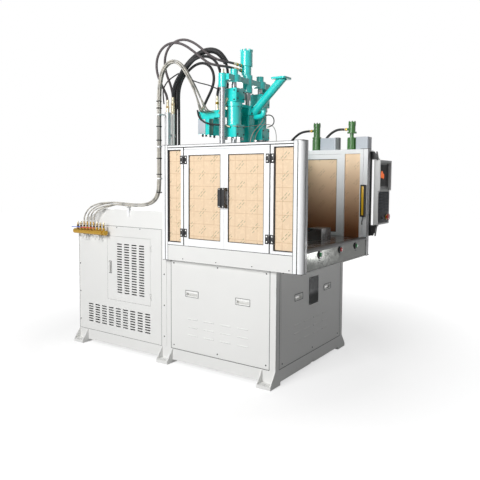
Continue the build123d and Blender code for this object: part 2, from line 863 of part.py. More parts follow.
def riser_block():
    """Ground steel block on the deck, with two clearance holes."""
    z0 = deck_top
    body = box(riser_x - 95, riser_x + 95, riser_y - 70, riser_y + 70, z0, z0 + 104)
    body = chamfer(body.edges(), 2)
    for x in (riser_x - 55, riser_x + 55):
        body -= rod(x, riser_y, z0 - 1, z0 + 110, 9)
    return body


# Operator panel

def panel_post():
    """Channel on the guard's post, with the two bracket arms and hinge pins."""
    x0 = guard_side + seat
    y0 = guard_front
    channel = box(x0, x0 + 22, y0, y0 + 42, bracket_bottom, bracket_top)
    channel -= box(x0 + 5, x0 + 23, y0 + 5, y0 + 37, panel_bottom - 60, panel_top + 30)
    x_end = panel_hinge_x + 22
    y_end = panel_hinge_y - 22
    for z_plate, z_far in ((panel_top + 4, bracket_top), (panel_bottom - 12, bracket_bottom)):
        plate = box(x0, x_end, y_end, y0 + 42, z_plate, z_plate + 8)
        plate = chamfer(plate.edges().filter_by(Axis.Z).sort_by(Axis.X)[-2:], 10)
        inner = z_plate + 8 if z_far > z_plate else z_plate
        web = [(x0, inner), (x_end - 12, inner), (x0 + 22, z_far), (x0, z_far)]
        channel += plate + prism_y(web, y_end + 10, y_end + 16) + prism_y(web, y0 + 20, y0 + 26)
    channel += rod(panel_hinge_x, panel_hinge_y, panel_top - 14, panel_top + 5, 6)
    channel += rod(panel_hinge_x, panel_hinge_y, panel_bottom - 5, panel_bottom + 14, 6)
    return channel


panel_left = panel_hinge_x - 22
panel_right = panel_left + panel_wide
stop_x = panel_right - stop_in
panel_face = guard_front - 60
panel_back = panel_face + panel_deep


def panel_housing():
    """Operator panel housing: folded box, hooded screen recess above, keypad plate below."""
    x0, x1, y0, y1 = panel_left, panel_right, panel_face, panel_back
    body = box(x0, x1, y0, y1, panel_bottom, panel_top)
    body = fillet(body.edges().filter_by(Axis.Z).group_by(Axis.Y)[-1], 8)
    hood = box(x0, x1, y0 - visor_deep, y0, visor_bottom, panel_top)
    hood -= box(x0 + 16, x1 - 16, y0 - visor_deep - 1, y0 + 1, visor_bottom - 1, panel_top - 22)
    body += hood
    body -= box(x0 + 16, x1 - 16, y0 - 1, y0 + 12, visor_bottom + 10, panel_top - 22)
    body -= box(x0 + 12, x1 - 12, y0 - 1, y0 + 3, panel_bottom + 14, visor_bottom - 10)
    for z0, z1 in ((panel_top - 15, panel_top + 1), (panel_bottom - 1, panel_bottom + 15)):
        body -= rod(panel_hinge_x, panel_hinge_y, z0, z1, 6 + running)
    body -= rod_y(stop_x, y0 - 1, y1 - 6, stop_z, 8 + running)
    return body


def panel_stop():
    """Mushroom stop button on the operator panel."""
    y = panel_face + 3
    head = rod_y(stop_x, y - 28, y - 12, stop_z, 20)
    head = fillet(head.edges().group_by(Axis.Y)[0], 7)
    return head + rod_y(stop_x, y - 12, y + 20, stop_z, 8)


# Clamp

def tie_places():
    return [(sx * tie_x, clamp_y + sy * tie_y) for sx in (-1, 1) for sy in (-1, 1)]


def work_table():
    """Fixed platen: ribbed underneath, bored for the tie bars, with tee slots on top."""
    x, y = half(platen_width), half(platen_depth)
    table = box(-x, x, clamp_y - y, clamp_y + y, base_top, table_top)
    table = fillet(table.edges().filter_by(Axis.Z), 20)
    wall, plate = 40.0, 90.0
    pocket_x = tie_x - nut_r - 20
    for sy in (-1, 1):
        y0, y1 = sorted((clamp_y + sy * 150, clamp_y + sy * (y - wall)))
        table -= box(-pocket_x, pocket_x, y0, y1, base_top - 1, table_top - plate)
    for place in tie_places():
        table -= rod(*place, base_top - 1, table_top + 1, tie_r + running)
    for sy in (-1.5, -0.5, 0.5, 1.5):
        y_slot = clamp_y + sy * 100
        table -= box(-x - 1, x + 1, y_slot - half(slot_neck), y_slot + half(slot_neck),
                     table_top - slot_deep, table_top + 1)
        table -= box(-x - 1, x + 1, y_slot - half(slot_width), y_slot + half(slot_width),
                     table_top - slot_deep, table_top - slot_deep + slot_head)
    return table


def clamp_cylinder():
    """Bored cylinder under the table, with its gland at the lower end."""
    top = base_top - seat
    bottom = top - cylinder_tall
    body = rod(0, clamp_y, bottom, top, cylinder_r)
    body += rod(0, clamp_y, top - 30, top, cylinder_r + 35)
    body += rod(0, clamp_y, bottom, bottom + 35, cylinder_r + 18)
    body -= rod(0, clamp_y, bottom + 35, top - 35, cylinder_bore)
    body -= rod(0, clamp_y, bottom - 1, bottom + 36, ram_r + running)
    port = rod_x(cylinder_r - 8, cylinder_r + 40, clamp_y, top - 70, 22)
    return body + (port - rod(0, clamp_y, bottom, top, cylinder_bore))


def tie_bars():
    bars = []
    top = upper_bottom + upper_thick + nut_tall
    for x, y in tie_places():
        bar = rod(x, y, pull_bottom - lower_nut_tall - 2, top + 4, tie_r)
        bars.append(chamfer(bar.edges().group_by(Axis.Z)[-1], 4))
    return bars


def tie_nuts():
    """Round nuts with four spanner slots, above the upper platen and below the pull plate."""
    nuts = []
    upper = upper_bottom + upper_thick
    for x, y in tie_places():
        for z0, z1 in ((upper, upper + nut_tall), (pull_bottom - lower_nut_tall, pull_bottom)):
            ring = rod(x, y, z0, z1, nut_r) - rod(x, y, z0 - 1, z1 + 1, tie_r + seat)
            middle = Pos(x, y, (z0 + z1) / 2)
            for turn in (0, 90):
                slot = middle * Rot(0, 0, turn) * Box(2 * nut_r + 2, spanner_slot, z1 - z0 + 2)
                ring -= slot - rod(x, y, z0 - 2, z1 + 2, nut_r - 9)
            nuts.append(ring)
    return nuts


def pull_plate():
    """Plate that the ram pushes down; it carries the tie bars' lower ends."""
    x, y = tie_x + 75, tie_y + 75
    plate = box(-x, x, clamp_y - y, clamp_y + y, pull_bottom, pull_bottom + pull_thick)
    plate = chamfer(plate.edges().filter_by(Axis.Z), 60)
    for place in tie_places():
        plate -= rod(*place, pull_bottom - 1, pull_bottom + pull_thick + 1, tie_r + seat)
    return plate


def clamp_ram():
    """Piston and ram on the pull plate."""
    cylinder_bottom = base_top - seat - cylinder_tall
    piston_top = base_top - seat - 35 - 12
    ram = rod(0, clamp_y, pull_bottom + pull_thick, piston_top, ram_r)
    return ram + rod(0, clamp_y, piston_top - piston_tall, piston_top, cylinder_bore - running)


def upper_platen():
    """Moving platen, with a nozzle bore, raised rim and rounded edges."""
    x, y = half(platen_width), half(platen_depth)
    z0, z1 = upper_bottom, upper_bottom + upper_thick
    plate = box(-x, x, clamp_y - y, clamp_y + y, z0, z1)
    plate = fillet(plate.edges().filter_by(Axis.Z), 40)
    plate = chamfer(plate.edges().group_by(Axis.Z)[-1], 6)
    for place in tie_places():
        plate -= rod(*place, z0 - 1, z1 + 1, tie_r + seat)
    plate -= rod(0, clamp_y, z0 - 1, z1 + 1, barrel_r + 8)
    for sx in (-1, 1):
        for sy in (-1, 1):
            plate -= rod(sx * 120, clamp_y + sy * 120, z0 - 1, z0 + 32, 10)
    return plate


# Injection unit

platen_face = upper_bottom + upper_thick


def cylinder_column(x):
    """One injection cylinder: end blocks, barrel and flange."""
    y = clamp_y
    h = half(block)
    low = box(x - h, x + h, y - h, y + h, *lower_block)
    low = chamfer(low.edges().filter_by(Axis.Z), 6)
    high = box(x - h, x + h, y - h, y + h, *upper_block)
    high = chamfer(high.edges(), 6)
    body = low + high + rod(x, y, lower_block[1] - 1, upper_block[0] + 1, cylinder_round)
    body += rod(x, y, flange_z, upper_block[0] + 1, cylinder_round + 8)
    return body


def injection_body():
    """The two cylinders, the bridge plate between them and the feed block."""
    body = cylinder_column(-unit_x) + cylinder_column(unit_x)
    z0 = flange_z
    bridge = box(-unit_x - 40, unit_x + 40, clamp_y - half(bridge_deep) + 20, clamp_y + half(bridge_deep),
                 z0, z0 + bridge_thick)
    feed = box(-half(feed_wide), half(feed_wide), clamp_y - half(feed_wide), clamp_y + half(feed_wide),
               feed_bottom, flange_z + bridge_thick)
    feed = chamfer(feed.edges().filter_by(Axis.Z), 5)
    rib = box(-unit_x, unit_x, clamp_y + 20, clamp_y + 50, lower_block[1] - 60, flange_z)
    body += bridge + feed + rib
    for x in (-unit_x, unit_x):
        body -= rod(x, clamp_y, lower_block[1], upper_block[1] + 1, rod_r + running)
    body -= rod(0, clamp_y, lower_block[0], upper_block[0], screw_r + 3)
    body -= rod(0, clamp_y, lower_block[0] - 1, feed_bottom, half(cover) * 1.5)
    return body


def stay_rods():
    """Rods that carry the injection body on the platen, and the cylinders' tie rods."""
    rods = []
    for x in (-unit_x, unit_x):
        rods.append(rod(x, clamp_y, platen_face, lower_block[0], stay_r))
        for sx in (-1, 1):
            for sy in (-1, 1):
                place = (x + sx * (half(block) - 18), clamp_y + sy * (half(block) - 18))
                stud = rod(*place, lower_block[0] - 22, lower_block[0], 15)
                rods.append(stud)
    return rods


def guide_columns():
    columns = []
    for x in (-column_x, column_x):
        column = rod(x, column_y, platen_face, column_top, column_r)
        column = chamfer(column.edges().group_by(Axis.Z)[-1], 3)
        columns.append(column + rod(x, column_y, platen_face, platen_face + 30, column_r + 20))
    return columns


def barrel():
    """Heated barrel with its nozzle, bored for the screw."""
    body = rod(0, clamp_y, nozzle_z + 70, feed_bottom, barrel_r)
    nozzle = Pos(0, clamp_y, nozzle_z + 35) * Cone(12, 30, 70)
    body += nozzle
    body -= rod(0, clamp_y, nozzle_z + 80, feed_bottom + 1, screw_r + running)
    return body - rod(0, clamp_y, nozzle_z - 1, nozzle_z + 81, 3)


def barrel_cover():
    """Ribbed square cover round the barrel, from the platen to the feed block."""
    h = half(cover)
    z0, z1 = platen_face, feed_bottom
    body = box(-h, h, clamp_y - h, clamp_y + h, z0, z1)
    body -= box(-h + 6, h - 6, clamp_y - h + 6, clamp_y + h - 6, z0 - 1, z1 + 1)
    cuts = []
    for place in (-1.5, -0.5, 0.5, 1.5):
        offset = place * cover / 4.2
        for sign in (-1, 1):
            edge = sign * h
            e0, e1 = sorted((edge - sign * 3, edge + sign))
            a0, a1 = offset - half(flute), offset + half(flute)
            cuts.append(box(e0, e1, clamp_y + a0, clamp_y + a1, z0 - 1, z1 - 18))
            cuts.append(box(a0, a1, clamp_y + e0, clamp_y + e1, z0 - 1, z1 - 18))
    return body - cuts


def hopper_chute():
    """Slanting feed chute: flange on the feed block, tube and hopper plate, bored through."""
    y0, z0 = chute_start
    y1, z1 = chute_end
    length = hypot(y1 - y0, z1 - z0)
    lean = degrees(atan2(-(y1 - y0), z1 - z0))
    middle = Pos(0, (y0 + y1) / 2, (z0 + z1) / 2) * Rot(lean, 0, 0)
    face = clamp_y - half(feed_wide)
    tube = middle * Cylinder(chute_r, length + 60)
    bore = middle * Cylinder(chute_bore, length + 40)
    flange = box(-48, 48, face - 16, face, feed_bottom + 4, feed_bottom + 82)
    plate_z = z1 + 4
    h = half(chute_plate)
    plate = box(-h, h, y1 - h, y1 + h, plate_z, plate_z + chute_plate_thick)
    plate = fillet(plate.edges().filter_by(Axis.Z), 18)
    tube -= box(-200, 200, y1 - 300, y1 + 300, plate_z, plate_z + 300)
    tube -= box(-200, 200, face, face + 300, z0 - 300, z0 + 300)
    body = tube + flange + plate
    body -= bore - box(-200, 200, face - 6, face + 300, z0 - 300, z0 + 300)
    body -= rod(0, y1, plate_z - 30, plate_z + 40, chute_bore)
    for sx in (-1, 1):
        for sy in (-1, 1):
            body -= rod(sx * (h - 20), y1 + sy * (h - 20), plate_z - 1, plate_z + 20, 5.5)
    return body


def terminal_arm():
    """Angle bracket from the left cylinder to the rear, its side web tapered to the far end."""
    x0, x1 = arm_x - half(arm_wide), arm_x + half(arm_wide)
    y0 = clamp_y + cylinder_round - 12
    plate = box(x0, x1, y0, arm_end, arm_z, arm_z + arm_thick)
    plate = chamfer(plate.edges().filter_by(Axis.Z).group_by(Axis.Y)[-1], 15)
    web = [(y0, arm_z - arm_drop), (arm_end - 45, arm_z - arm_drop),
           (arm_end - 16, arm_z + 1), (y0, arm_z + 1)]
    plate += prism_x(web, x0, x0 + arm_thick)
    plate += prism_x(web, arm_x + 12, arm_x + 12 + arm_thick)
    return plate - rod(-unit_x, clamp_y, arm_z - arm_drop - 1, arm_z + arm_thick + 1, cylinder_round + seat)


def terminal_boxes():
    """Three boxes side by side under the bracket's webs."""
    z = arm_z - arm_drop - seat
    x0, x1 = arm_x - half(arm_wide), arm_x + half(arm_wide) - 6
    grey = box(x0 - 2, x1, arm_end - 115, arm_end - 28, z - 143, z)
    grey = fillet(grey.edges().filter_by(Axis.Z), 4)
    teal = box(x0, x1, arm_end - 158, arm_end - 115 - seat, z - 150, z)
    dark = box(x0 + 4, x1, arm_end - 205, arm_end - 158 - seat, z - 158, z)
    return [grey, teal, dark]


# Crosshead and screw

def crosshead():
    """Crosshead on the guide columns, with the drive housing in its middle."""
    bar_y0, bar_y1 = clamp_y - 36, clamp_y + 44
    body = box(-column_x, column_x, bar_y0, bar_y1, cross_bottom + 8, cross_top - 4)
    for x in (-unit_x, unit_x):
        body += rod(x, clamp_y, cross_bottom, cross_top, boss_r)
        body += rod(x, clamp_y, cross_top - 1, cap_top, cap_r)
    body += rod(0, clamp_y, drive_bottom, drive_top, drive_r)
    for x in (-column_x, column_x):
        body += rod(x, column_y, collar_bottom, cross_top, collar_round)
    for x in (-column_x, column_x):
        body -= rod(x, column_y, collar_bottom - 1, cross_top + 1, column_r + running)
    for x in (-unit_x, unit_x):
        body -= rod(x, clamp_y, cross_bottom - 1, cross_top, rod_r + seat)
    return body - rod(0, clamp_y, drive_bottom - 1, drive_top - 40, screw_r + seat)


def piston_rods():
    return [rod(x, clamp_y, rod_bottom, cross_top - seat, rod_r) for x in (-unit_x, unit_x)]


def screw_motor():
    """Hydraulic motor on the drive housing: stepped body, ring of bolt heads, two port stubs."""
    y = clamp_y + 14
    z0 = drive_top
    body = rod(0, y, z0, motor_step, motor_neck_r)
    body += rod(0, y, motor_step - 14, motor_step, motor_neck_r + 12)
    body += rod(0, y, motor_step, screw_motor_top - 14, screw_motor_r)
    for index in range(8):
        angle = 2 * pi * (index + 0.5) / 8
        body += rod(cos(angle) * (screw_motor_r - 8), y + sin(angle) * (screw_motor_r - 8),
                    screw_motor_top - 24, screw_motor_top, 11)
    for z in motor_ports:
        body += rod_x(-motor_neck_r - port_reach, 0, port_y, z, 17)
    return body


def motor_fittings():
    """Swivel fittings between the motor's ports and its two hoses."""
    start = loop_a[-1][0] + seat
    return [rod_x(start, -motor_neck_r - port_reach, port_y, z, 12) for z in motor_ports]


motor_ports = (2610.0, 2653.0)
port_y = -422.0
port_reach = 26.0


def screw():
    """Coupling and screw, turned by the motor inside the drive housing."""
    shaft = rod(0, clamp_y, screw_bottom + screw_tip, drive_bottom + 60, screw_r)
    coupling = rod(0, clamp_y, coupling_bottom, drive_bottom - seat, coupling_r)
    tip = Pos(0, clamp_y, screw_bottom + half(screw_tip)) * Cone(6, screw_r, screw_tip)
    return shaft + coupling + tip


# Auxiliary units beside the right guard

aux_out = 130.0             # units' axes, outwards from the guard's side face
shelf_out = 220.0           # shelf's outer edge, outwards from the same face
aux_x = guard_side + aux_out
aux_y = (-758.0, -1134.0)
shelf_bottom = 1878.0
shelf_thick = 8.0
shelf_top = shelf_bottom + shelf_thick
aux_body_r = 42.0
aux_flange = 12.0
aux_box_gap = 5.0
aux_box_depth = (172.0, 128.0)
aux_box_top = 2038.0
aux_body_top = 2036.0
aux_motor_r = 34.0
aux_motor_top = 2196.0


def side_shelf():
    """Shelf on the right top rail, stiffened by two upstands and an edge."""
    x0, x1 = guard_side + seat, guard_side + shelf_out
    y0, y1 = -1330.0, -380.0
    body = box(x0, x1, y0, y1, shelf_bottom, shelf_top)
    body += box(x0, x0 + shelf_thick, y0, y1, shelf_bottom, guard_top)
    body += box(x1 - shelf_thick, x1, y0, y1, shelf_bottom, shelf_top + 20)
    for y in (y0, y1 - shelf_thick):
        rib = [(x0, guard_top), (x1, shelf_top + 20), (x1, shelf_top - 1), (x0, shelf_top - 1)]
        body += prism_y(rib, y, y + shelf_thick)
    return body


def aux_bodies():
    bodies = []
    for y in aux_y:
        body = rod(aux_x, y, shelf_top, aux_body_top, aux_body_r)
        for index in range(8):
            angle = 2 * pi * index / 8
            body += rod(aux_x + cos(angle) * (aux_body_r - 2), y + sin(angle) * (aux_body_r - 2),
                        shelf_top, aux_body_top - 12, 6)
        body += rod(aux_x, y, shelf_top, shelf_top + 14, aux_body_r + aux_flange)
        bodies.append(body)
    return bodies


def aux_motor(y, lift):
    """Small motor with a flange, bolt heads and one port stub to the rear."""
    z0 = aux_body_top + lift
    body = rod(aux_x, y, z0, z0 + 14, aux_motor_r + 12)
    body += rod(aux_x, y, z0 + 14, aux_motor_top - 10, aux_motor_r)
    body += rod(aux_x, y, aux_motor_top - 45, aux_motor_top - 10, aux_motor_r + 3)
    for index in range(6):
        angle = 2 * pi * (index + 0.5) / 6
        body += rod(aux_x + cos(angle) * (aux_motor_r - 4), y + sin(angle) * (aux_motor_r - 4),
                    aux_motor_top - 18, aux_motor_top, 6)
    body += rod_y(aux_x, y, y + aux_motor_r + 12, aux_port_z, 12)
    return body


aux_port_z = 2118.0
aux_lift = 40.0


def aux_motors():
    return [aux_motor(aux_y[0], 0), aux_motor(aux_y[1], aux_lift)]


def aux_stem():
    return rod(aux_x, aux_y[1], aux_body_top, aux_body_top + aux_lift, 19)


def aux_boxes():
    boxes = []
    for y, depth in zip(aux_y, aux_box_depth):
        y1 = y - aux_body_r - aux_flange - aux_box_gap
        body = box(aux_x - 52, aux_x + 52, y1 - depth, y1, shelf_top, aux_box_top)
        body = fillet(body.edges().filter_by(Axis.Z), 14)
        boxes.append(fillet(body.edges().group_by(Axis.Z)[-1], 5))
    return boxes


# Water manifold

manifold_x = -690.0
manifold_z = 1110.0
manifold_r = 24.0
manifold_front = 745.0
manifold_rear = 1140.0
union_length = 58.0
outlet_pitch = 46.0
outlet_count = 9
outlet_first = 1087.0
barb_top = 1207.0 - seat
valve_z = 1148.0
lever_count = 6
lever_reach = 62.0
lever_turn = 28.0          # levers stand this far out from the bar's line
bracket_places = (812.0, 998.0)
bracket_bolts = 22.0


def outlet_y(index):
    return outlet_first - index * outlet_pitch


def manifold_bar():
    """Round brass bar with a domed end, unions at the front and nine valved outlets."""
    bar = rod_y(manifold_x, manifold_front, manifold_rear, manifold_z, manifold_r)
    bar = fillet(bar.edges().group_by(Axis.Y)[-1], 12)
    hexagon = Plane.XZ * Pos(manifold_x, manifold_z) * RegularPolygon(manifold_r + 2, 6)
    for start, end in ((0.0, 18.0), (34.0, union_length)):
        bar += Pos(0, manifold_front - start, 0) * extrude(hexagon.face(), amount=end - start, dir=(0, -1, 0))
    bar += rod_y(manifold_x, manifold_front - union_length + 4, manifold_front, manifold_z, manifold_r - 5)
    for index in range(outlet_count):
        y = outlet_y(index)
        bar += rod(manifold_x, y, manifold_z, valve_z + 12, 9)
        bar += rod(manifold_x, y, valve_z + 11, barb_top, 6)
        bar += rod(manifold_x, y, barb_top - 12, barb_top - 8, 7.5)
    return bar


def manifold_brackets():
    """Two angle brackets on the cabinet's side, each with a pair of studs up into the bar."""
    brackets = []
    top = manifold_z - manifold_r - seat
    for y in bracket_places:
        arm = box(manifold_x - 14, -side, y - 34, y + 34, top - 5, top)
        arm += box(-side - 5, -side, y - 34, y + 34, top - 60, top)
        for offset in (-bracket_bolts, bracket_bolts):
            arm += rod(manifold_x, y + offset, top - 38, top, 6)
        brackets.append(arm)
    return brackets


def valve_levers():
    """Flat levers of the first valves, side by side above the bar."""
    levers = []
    for index in range(lever_count):
        place = Pos(manifold_x, outlet_y(index), valve_z) * Rot(0, 0, lever_turn)
        hub = Pos(0, 0, 3) * Cylinder(14, 6)
        lever = place * (Pos(0, half(lever_reach), 3) * Box(13, lever_reach, 6) + hub)
        levers.append(lever - rod(manifold_x, outlet_y(index), valve_z - 2, valve_z + 8, 9 + seat))
    return levers


# Hose risers behind the guard

duct_x = -530.0
duct_y = 52.0
duct_half = 18.0
duct_top = 2214.0
duct_fitting = 62.0
pipe_x = -452.0
pipe_y = 60.0
pipe_r = 18.0
pipe_top = 2210.0
pipe_fitting = 99.0
gland_tall = 40.0
gland_r = 14.0
glands = ((-395.0, 75.0), (-365.0, 60.0), (-425.0, 85.0))
clip_z = (1620.0, 2000.0)
tube_clip_z = (1620.0, 1900.0, 2180.0)
tube_group = (-620.0, 73.0)
tube_group_half = 18.0
standoff_y = 470.0
standoff_top = 1365.0


def hose_risers():
    """White duct and steel pipe on the cabinet's roof."""
    duct = box(duct_x - duct_half, duct_x + duct_half, duct_y - 20, duct_y + 20, cabinet_top, duct_top)
    duct += box(duct_x - duct_half - 20, duct_x + duct_half + 16, duct_y - 32, duct_y + 32,
                cabinet_top, cabinet_top + 8)
    pipe = rod(pipe_x, pipe_y, cabinet_top, pipe_top, pipe_r)
    pipe += rod(pipe_x, pipe_y, cabinet_top, cabinet_top + 14, pipe_r + 4)
    clips = []
    for z in clip_z:
        clip = box(duct_x + duct_half, pipe_x, pipe_y - 9, pipe_y + 9, z, z + 24)
        clip += rod(pipe_x, pipe_y, z, z + 24, pipe_r + 4)
        clips.append(clip)
    return [(duct + pipe).fuse(*clips)]


def tube_clips():
    """Saddles that hold the four water tubes to the duct, and one on the cabinet's hood."""
    x, y = tube_group
    saddles = []
    for z in tube_clip_z:
        saddle = box(x - tube_group_half - 3, duct_x - duct_half - seat, y - tube_group_half - 3,
                     y + tube_group_half + 3, z, z + 14)
        saddle -= box(x - tube_group_half, x + tube_group_half, y - tube_group_half,
                      y + tube_group_half, z - 1, z + 15)
        saddles.append(saddle)
    post = box(x + 4, x + 30, standoff_y - 10, standoff_y + 10, cabinet_top - 60, standoff_top)
    post += box(x - 20, x + 30, standoff_y - 10, standoff_y + 10, standoff_top - 4, standoff_top)
    saddles.append(post - cabinet_form(-seat))
    return saddles


def riser_fittings():
    """Hose fittings on the risers, hose glands in the roof and fittings at the auxiliary ports."""
    fittings = [rod(pipe_x, pipe_y, pipe_top, pipe_top + pipe_fitting, 17),
                rod(duct_x, duct_y, duct_top, duct_top + duct_fitting, 14)]
    for place in glands:
        fittings.append(rod(*place, cabinet_top, cabinet_top + gland_tall, gland_r))
    for y in aux_y:
        fittings.append(rod_y(aux_x, y + aux_motor_r + 12, y + aux_motor_r + 42, aux_port_z, 10))
    return fittings


def stub(start, end, r):
    """Short rod from one point to another."""
    line = Line(Vector(*start), Vector(*end))
    return Solid.make_cylinder(r, line.length, Plane(origin=start, z_dir=line % 0))


column_fitting = 33.0
angled_fitting = ((-292, -432, 2337), (-288, -344, 2205))


def unit_fittings():
    """Fittings on the bracket, the left cylinder and the left guide column."""
    top = arm_z + arm_thick
    fittings = [rod(*end[:2], top, end[2], 14) for end in (hose_1[-1], hose_2[-1])]
    end, before = hose_3[-1], hose_3[-2]
    reach = (end[2] - top + 12) / (before[2] - end[2])
    foot_point = tuple(e + (e - b) * reach for e, b in zip(end, before))
    fittings.append(stub(end, foot_point, 13) - box(-400, 0, -400, 0, top - 60, top))
    fittings.append(stub(*angled_fitting, 13) - injection_body())
    fittings.append(rod(-column_x, column_y, column_top, column_top + column_fitting, 15))
    for tube_end in (water_tube_1[-1], water_tube_2[-1], water_tube_3[-1], water_tube_4[-1]):
        fittings.append(rod_x(tube_end[0], arm_x - half(arm_wide), tube_end[1], tube_end[2], 8))
    return fittings


# Hoses and tubes. Each route's points are chosen by hand; the first and last lie on fittings.

hose = 24.0
loop = 22.0
tube = 14.0
hose_1 = [(-452, 60, 2309), (-452, 60, 2385), (-453, 44, 2464), (-447, -2, 2540), (-436, -64, 2606),
    (-421, -130, 2660), (-403, -200, 2694), (-381, -268, 2700), (-358, -326, 2674), (-335, -360, 2620),
    (-311, -370, 2554), (-292, -352, 2492), (-274, -322, 2436), (-265, -300, 2380), (-265, -300, 2318)]
hose_2 = [(-395, 75, 1373), (-395, 75, 2300), (-395, 63, 2380), (-395, 53, 2469), (-392, 15, 2559),
    (-385, -47, 2639), (-372, -129, 2709), (-352, -221, 2755), (-318, -301, 2759), (-274, -353, 2721),
    (-230, -373, 2655), (-196, -367, 2574), (-180, -355, 2498), (-180, -345, 2400), (-180, -345, 2335)]
hose_3 = [(-365, 60, 1373), (-365, 60, 2290), (-365, 63, 2370), (-365, 53, 2460), (-364, 11, 2543),
    (-362, -60, 2608), (-357, -142, 2650), (-350, -218, 2652), (-340, -278, 2618), (-329, -306, 2558),
    (-316, -302, 2490), (-301, -268, 2428), (-285, -220, 2372), (-267, -172, 2322), (-250, -124, 2268)]
loop_a = [(-530, 52, 2276), (-530, 52, 2346), (-556, 78, 2423), (-586, 103, 2500), (-606, 115, 2586),
    (-614, 103, 2674), (-608, 62, 2749), (-592, -2, 2795), (-566, -83, 2804), (-534, -156, 2774),
    (-502, -218, 2723), (-472, -281, 2668), (-442, -339, 2618), (-412, -378, 2606), (-355, -405, 2604),
    (-282, -420, 2609), (-212, -422, 2610), (-145, -422, 2610)]
loop_b = [(-425, 85, 1373), (-425, 85, 2290), (-432, 76, 2380), (-448, 87, 2470), (-470, 111, 2549),
    (-488, 124, 2636), (-496, 111, 2726), (-492, 69, 2801), (-480, -3, 2845), (-464, -93, 2850),
    (-446, -174, 2816), (-426, -241, 2764), (-408, -296, 2712), (-388, -352, 2674), (-343, -392, 2652),
    (-276, -416, 2650), (-210, -422, 2653), (-145, -422, 2653)]
water_tube_1 = [(-690, 995, 1207), (-690, 995, 1250), (-680, 953, 1322), (-664, 900, 1361),
    (-645, 829, 1385), (-627, 737, 1396), (-621, 637, 1400), (-627, 505, 1394), (-629, 380, 1390),
    (-629, 267, 1394), (-629, 185, 1412), (-629, 125, 1447), (-629, 97, 1497), (-629, 82, 1560),
    (-629, 82, 2323), (-629, 73, 2428), (-626, 60, 2518), (-620, 29, 2591), (-611, -25, 2640),
    (-599, -92, 2648), (-584, -147, 2612), (-565, -187, 2552), (-542, -213, 2491), (-514, -232, 2432),
    (-483, -250, 2372), (-446, -262, 2314), (-402, -268, 2262), (-352, -268, 2224), (-298, -268, 2224)]
water_tube_2 = [(-690, 949, 1207), (-690, 949, 1250), (-680, 915, 1311), (-660, 873, 1346),
    (-634, 819, 1372), (-612, 743, 1389), (-603, 637, 1400), (-609, 505, 1394), (-611, 380, 1390),
    (-611, 267, 1394), (-611, 185, 1412), (-611, 125, 1447), (-611, 97, 1497), (-611, 82, 1560),
    (-611, 82, 2323), (-611, 73, 2428), (-608, 60, 2518), (-602, 29, 2591), (-593, -25, 2640),
    (-581, -92, 2648), (-566, -147, 2612), (-547, -187, 2552), (-524, -213, 2491), (-496, -230, 2434),
    (-465, -242, 2376), (-429, -246, 2320), (-391, -242, 2268), (-350, -232, 2226), (-298, -232, 2226)]
water_tube_3 = [(-690, 903, 1207), (-690, 903, 1250), (-682, 877, 1306), (-666, 838, 1335),
    (-646, 784, 1355), (-630, 710, 1370), (-621, 637, 1382), (-627, 505, 1376), (-629, 380, 1372),
    (-629, 265, 1376), (-629, 179, 1396), (-629, 113, 1435), (-629, 81, 1491), (-629, 64, 1560),
    (-629, 64, 2323), (-629, 55, 2426), (-626, 42, 2514), (-620, 15, 2581), (-611, -33, 2624),
    (-599, -88, 2630), (-584, -135, 2600), (-565, -171, 2544), (-542, -197, 2483), (-514, -213, 2427),
    (-482, -222, 2368), (-445, -222, 2312), (-402, -214, 2262), (-352, -202, 2224), (-298, -202, 2224)]
water_tube_4 = [(-690, 857, 1207), (-690, 857, 1250), (-680, 834, 1300), (-660, 811, 1325),
    (-636, 770, 1344), (-614, 714, 1359), (-603, 637, 1382), (-609, 505, 1376), (-611, 380, 1372),
    (-611, 265, 1376), (-611, 179, 1396), (-611, 113, 1435), (-611, 81, 1491), (-611, 64, 1560),
    (-611, 64, 2323), (-611, 55, 2426), (-608, 42, 2514), (-602, 15, 2581), (-593, -33, 2624),
    (-581, -88, 2630), (-566, -135, 2600), (-547, -171, 2544), (-524, -197, 2483), (-496, -207, 2430),
    (-464, -210, 2374), (-428, -204, 2320), (-390, -190, 2268), (-350, -172, 2226), (-298, -172, 2226)]


def cord(name, points, width):
    """Tube of straight runs and tangent arcs along a route; prints its tightest arc."""
    runs = [(Vector(*b) - Vector(*a)).length for a, b in zip(points, points[1:])]
    radii = []
    for index in range(1, len(points) - 1):
        before = Vector(*points[index]) - Vector(*points[index - 1])
        after = Vector(*points[index + 1]) - Vector(*points[index])
        turn = radians(before.get_angle(after))
        radii.append(0.45 * min(runs[index - 1], runs[index]) / tan(turn / 2))
    path = FilletPolyline(*points, radius=radii)
    section = Plane(origin=path @ 0, z_dir=path % 0) * Circle(width / 2)
    solid = sweep(section, path=path)
    filled = solid.volume / (pi * width * width / 4 * path.length)
    tightest = round(min(radii) / width, 1)
    print(name, "length", round(path.length), "tightest arc in diameters", tightest,
          "volume ratio", round(filled, 4))
    save(name, solid)


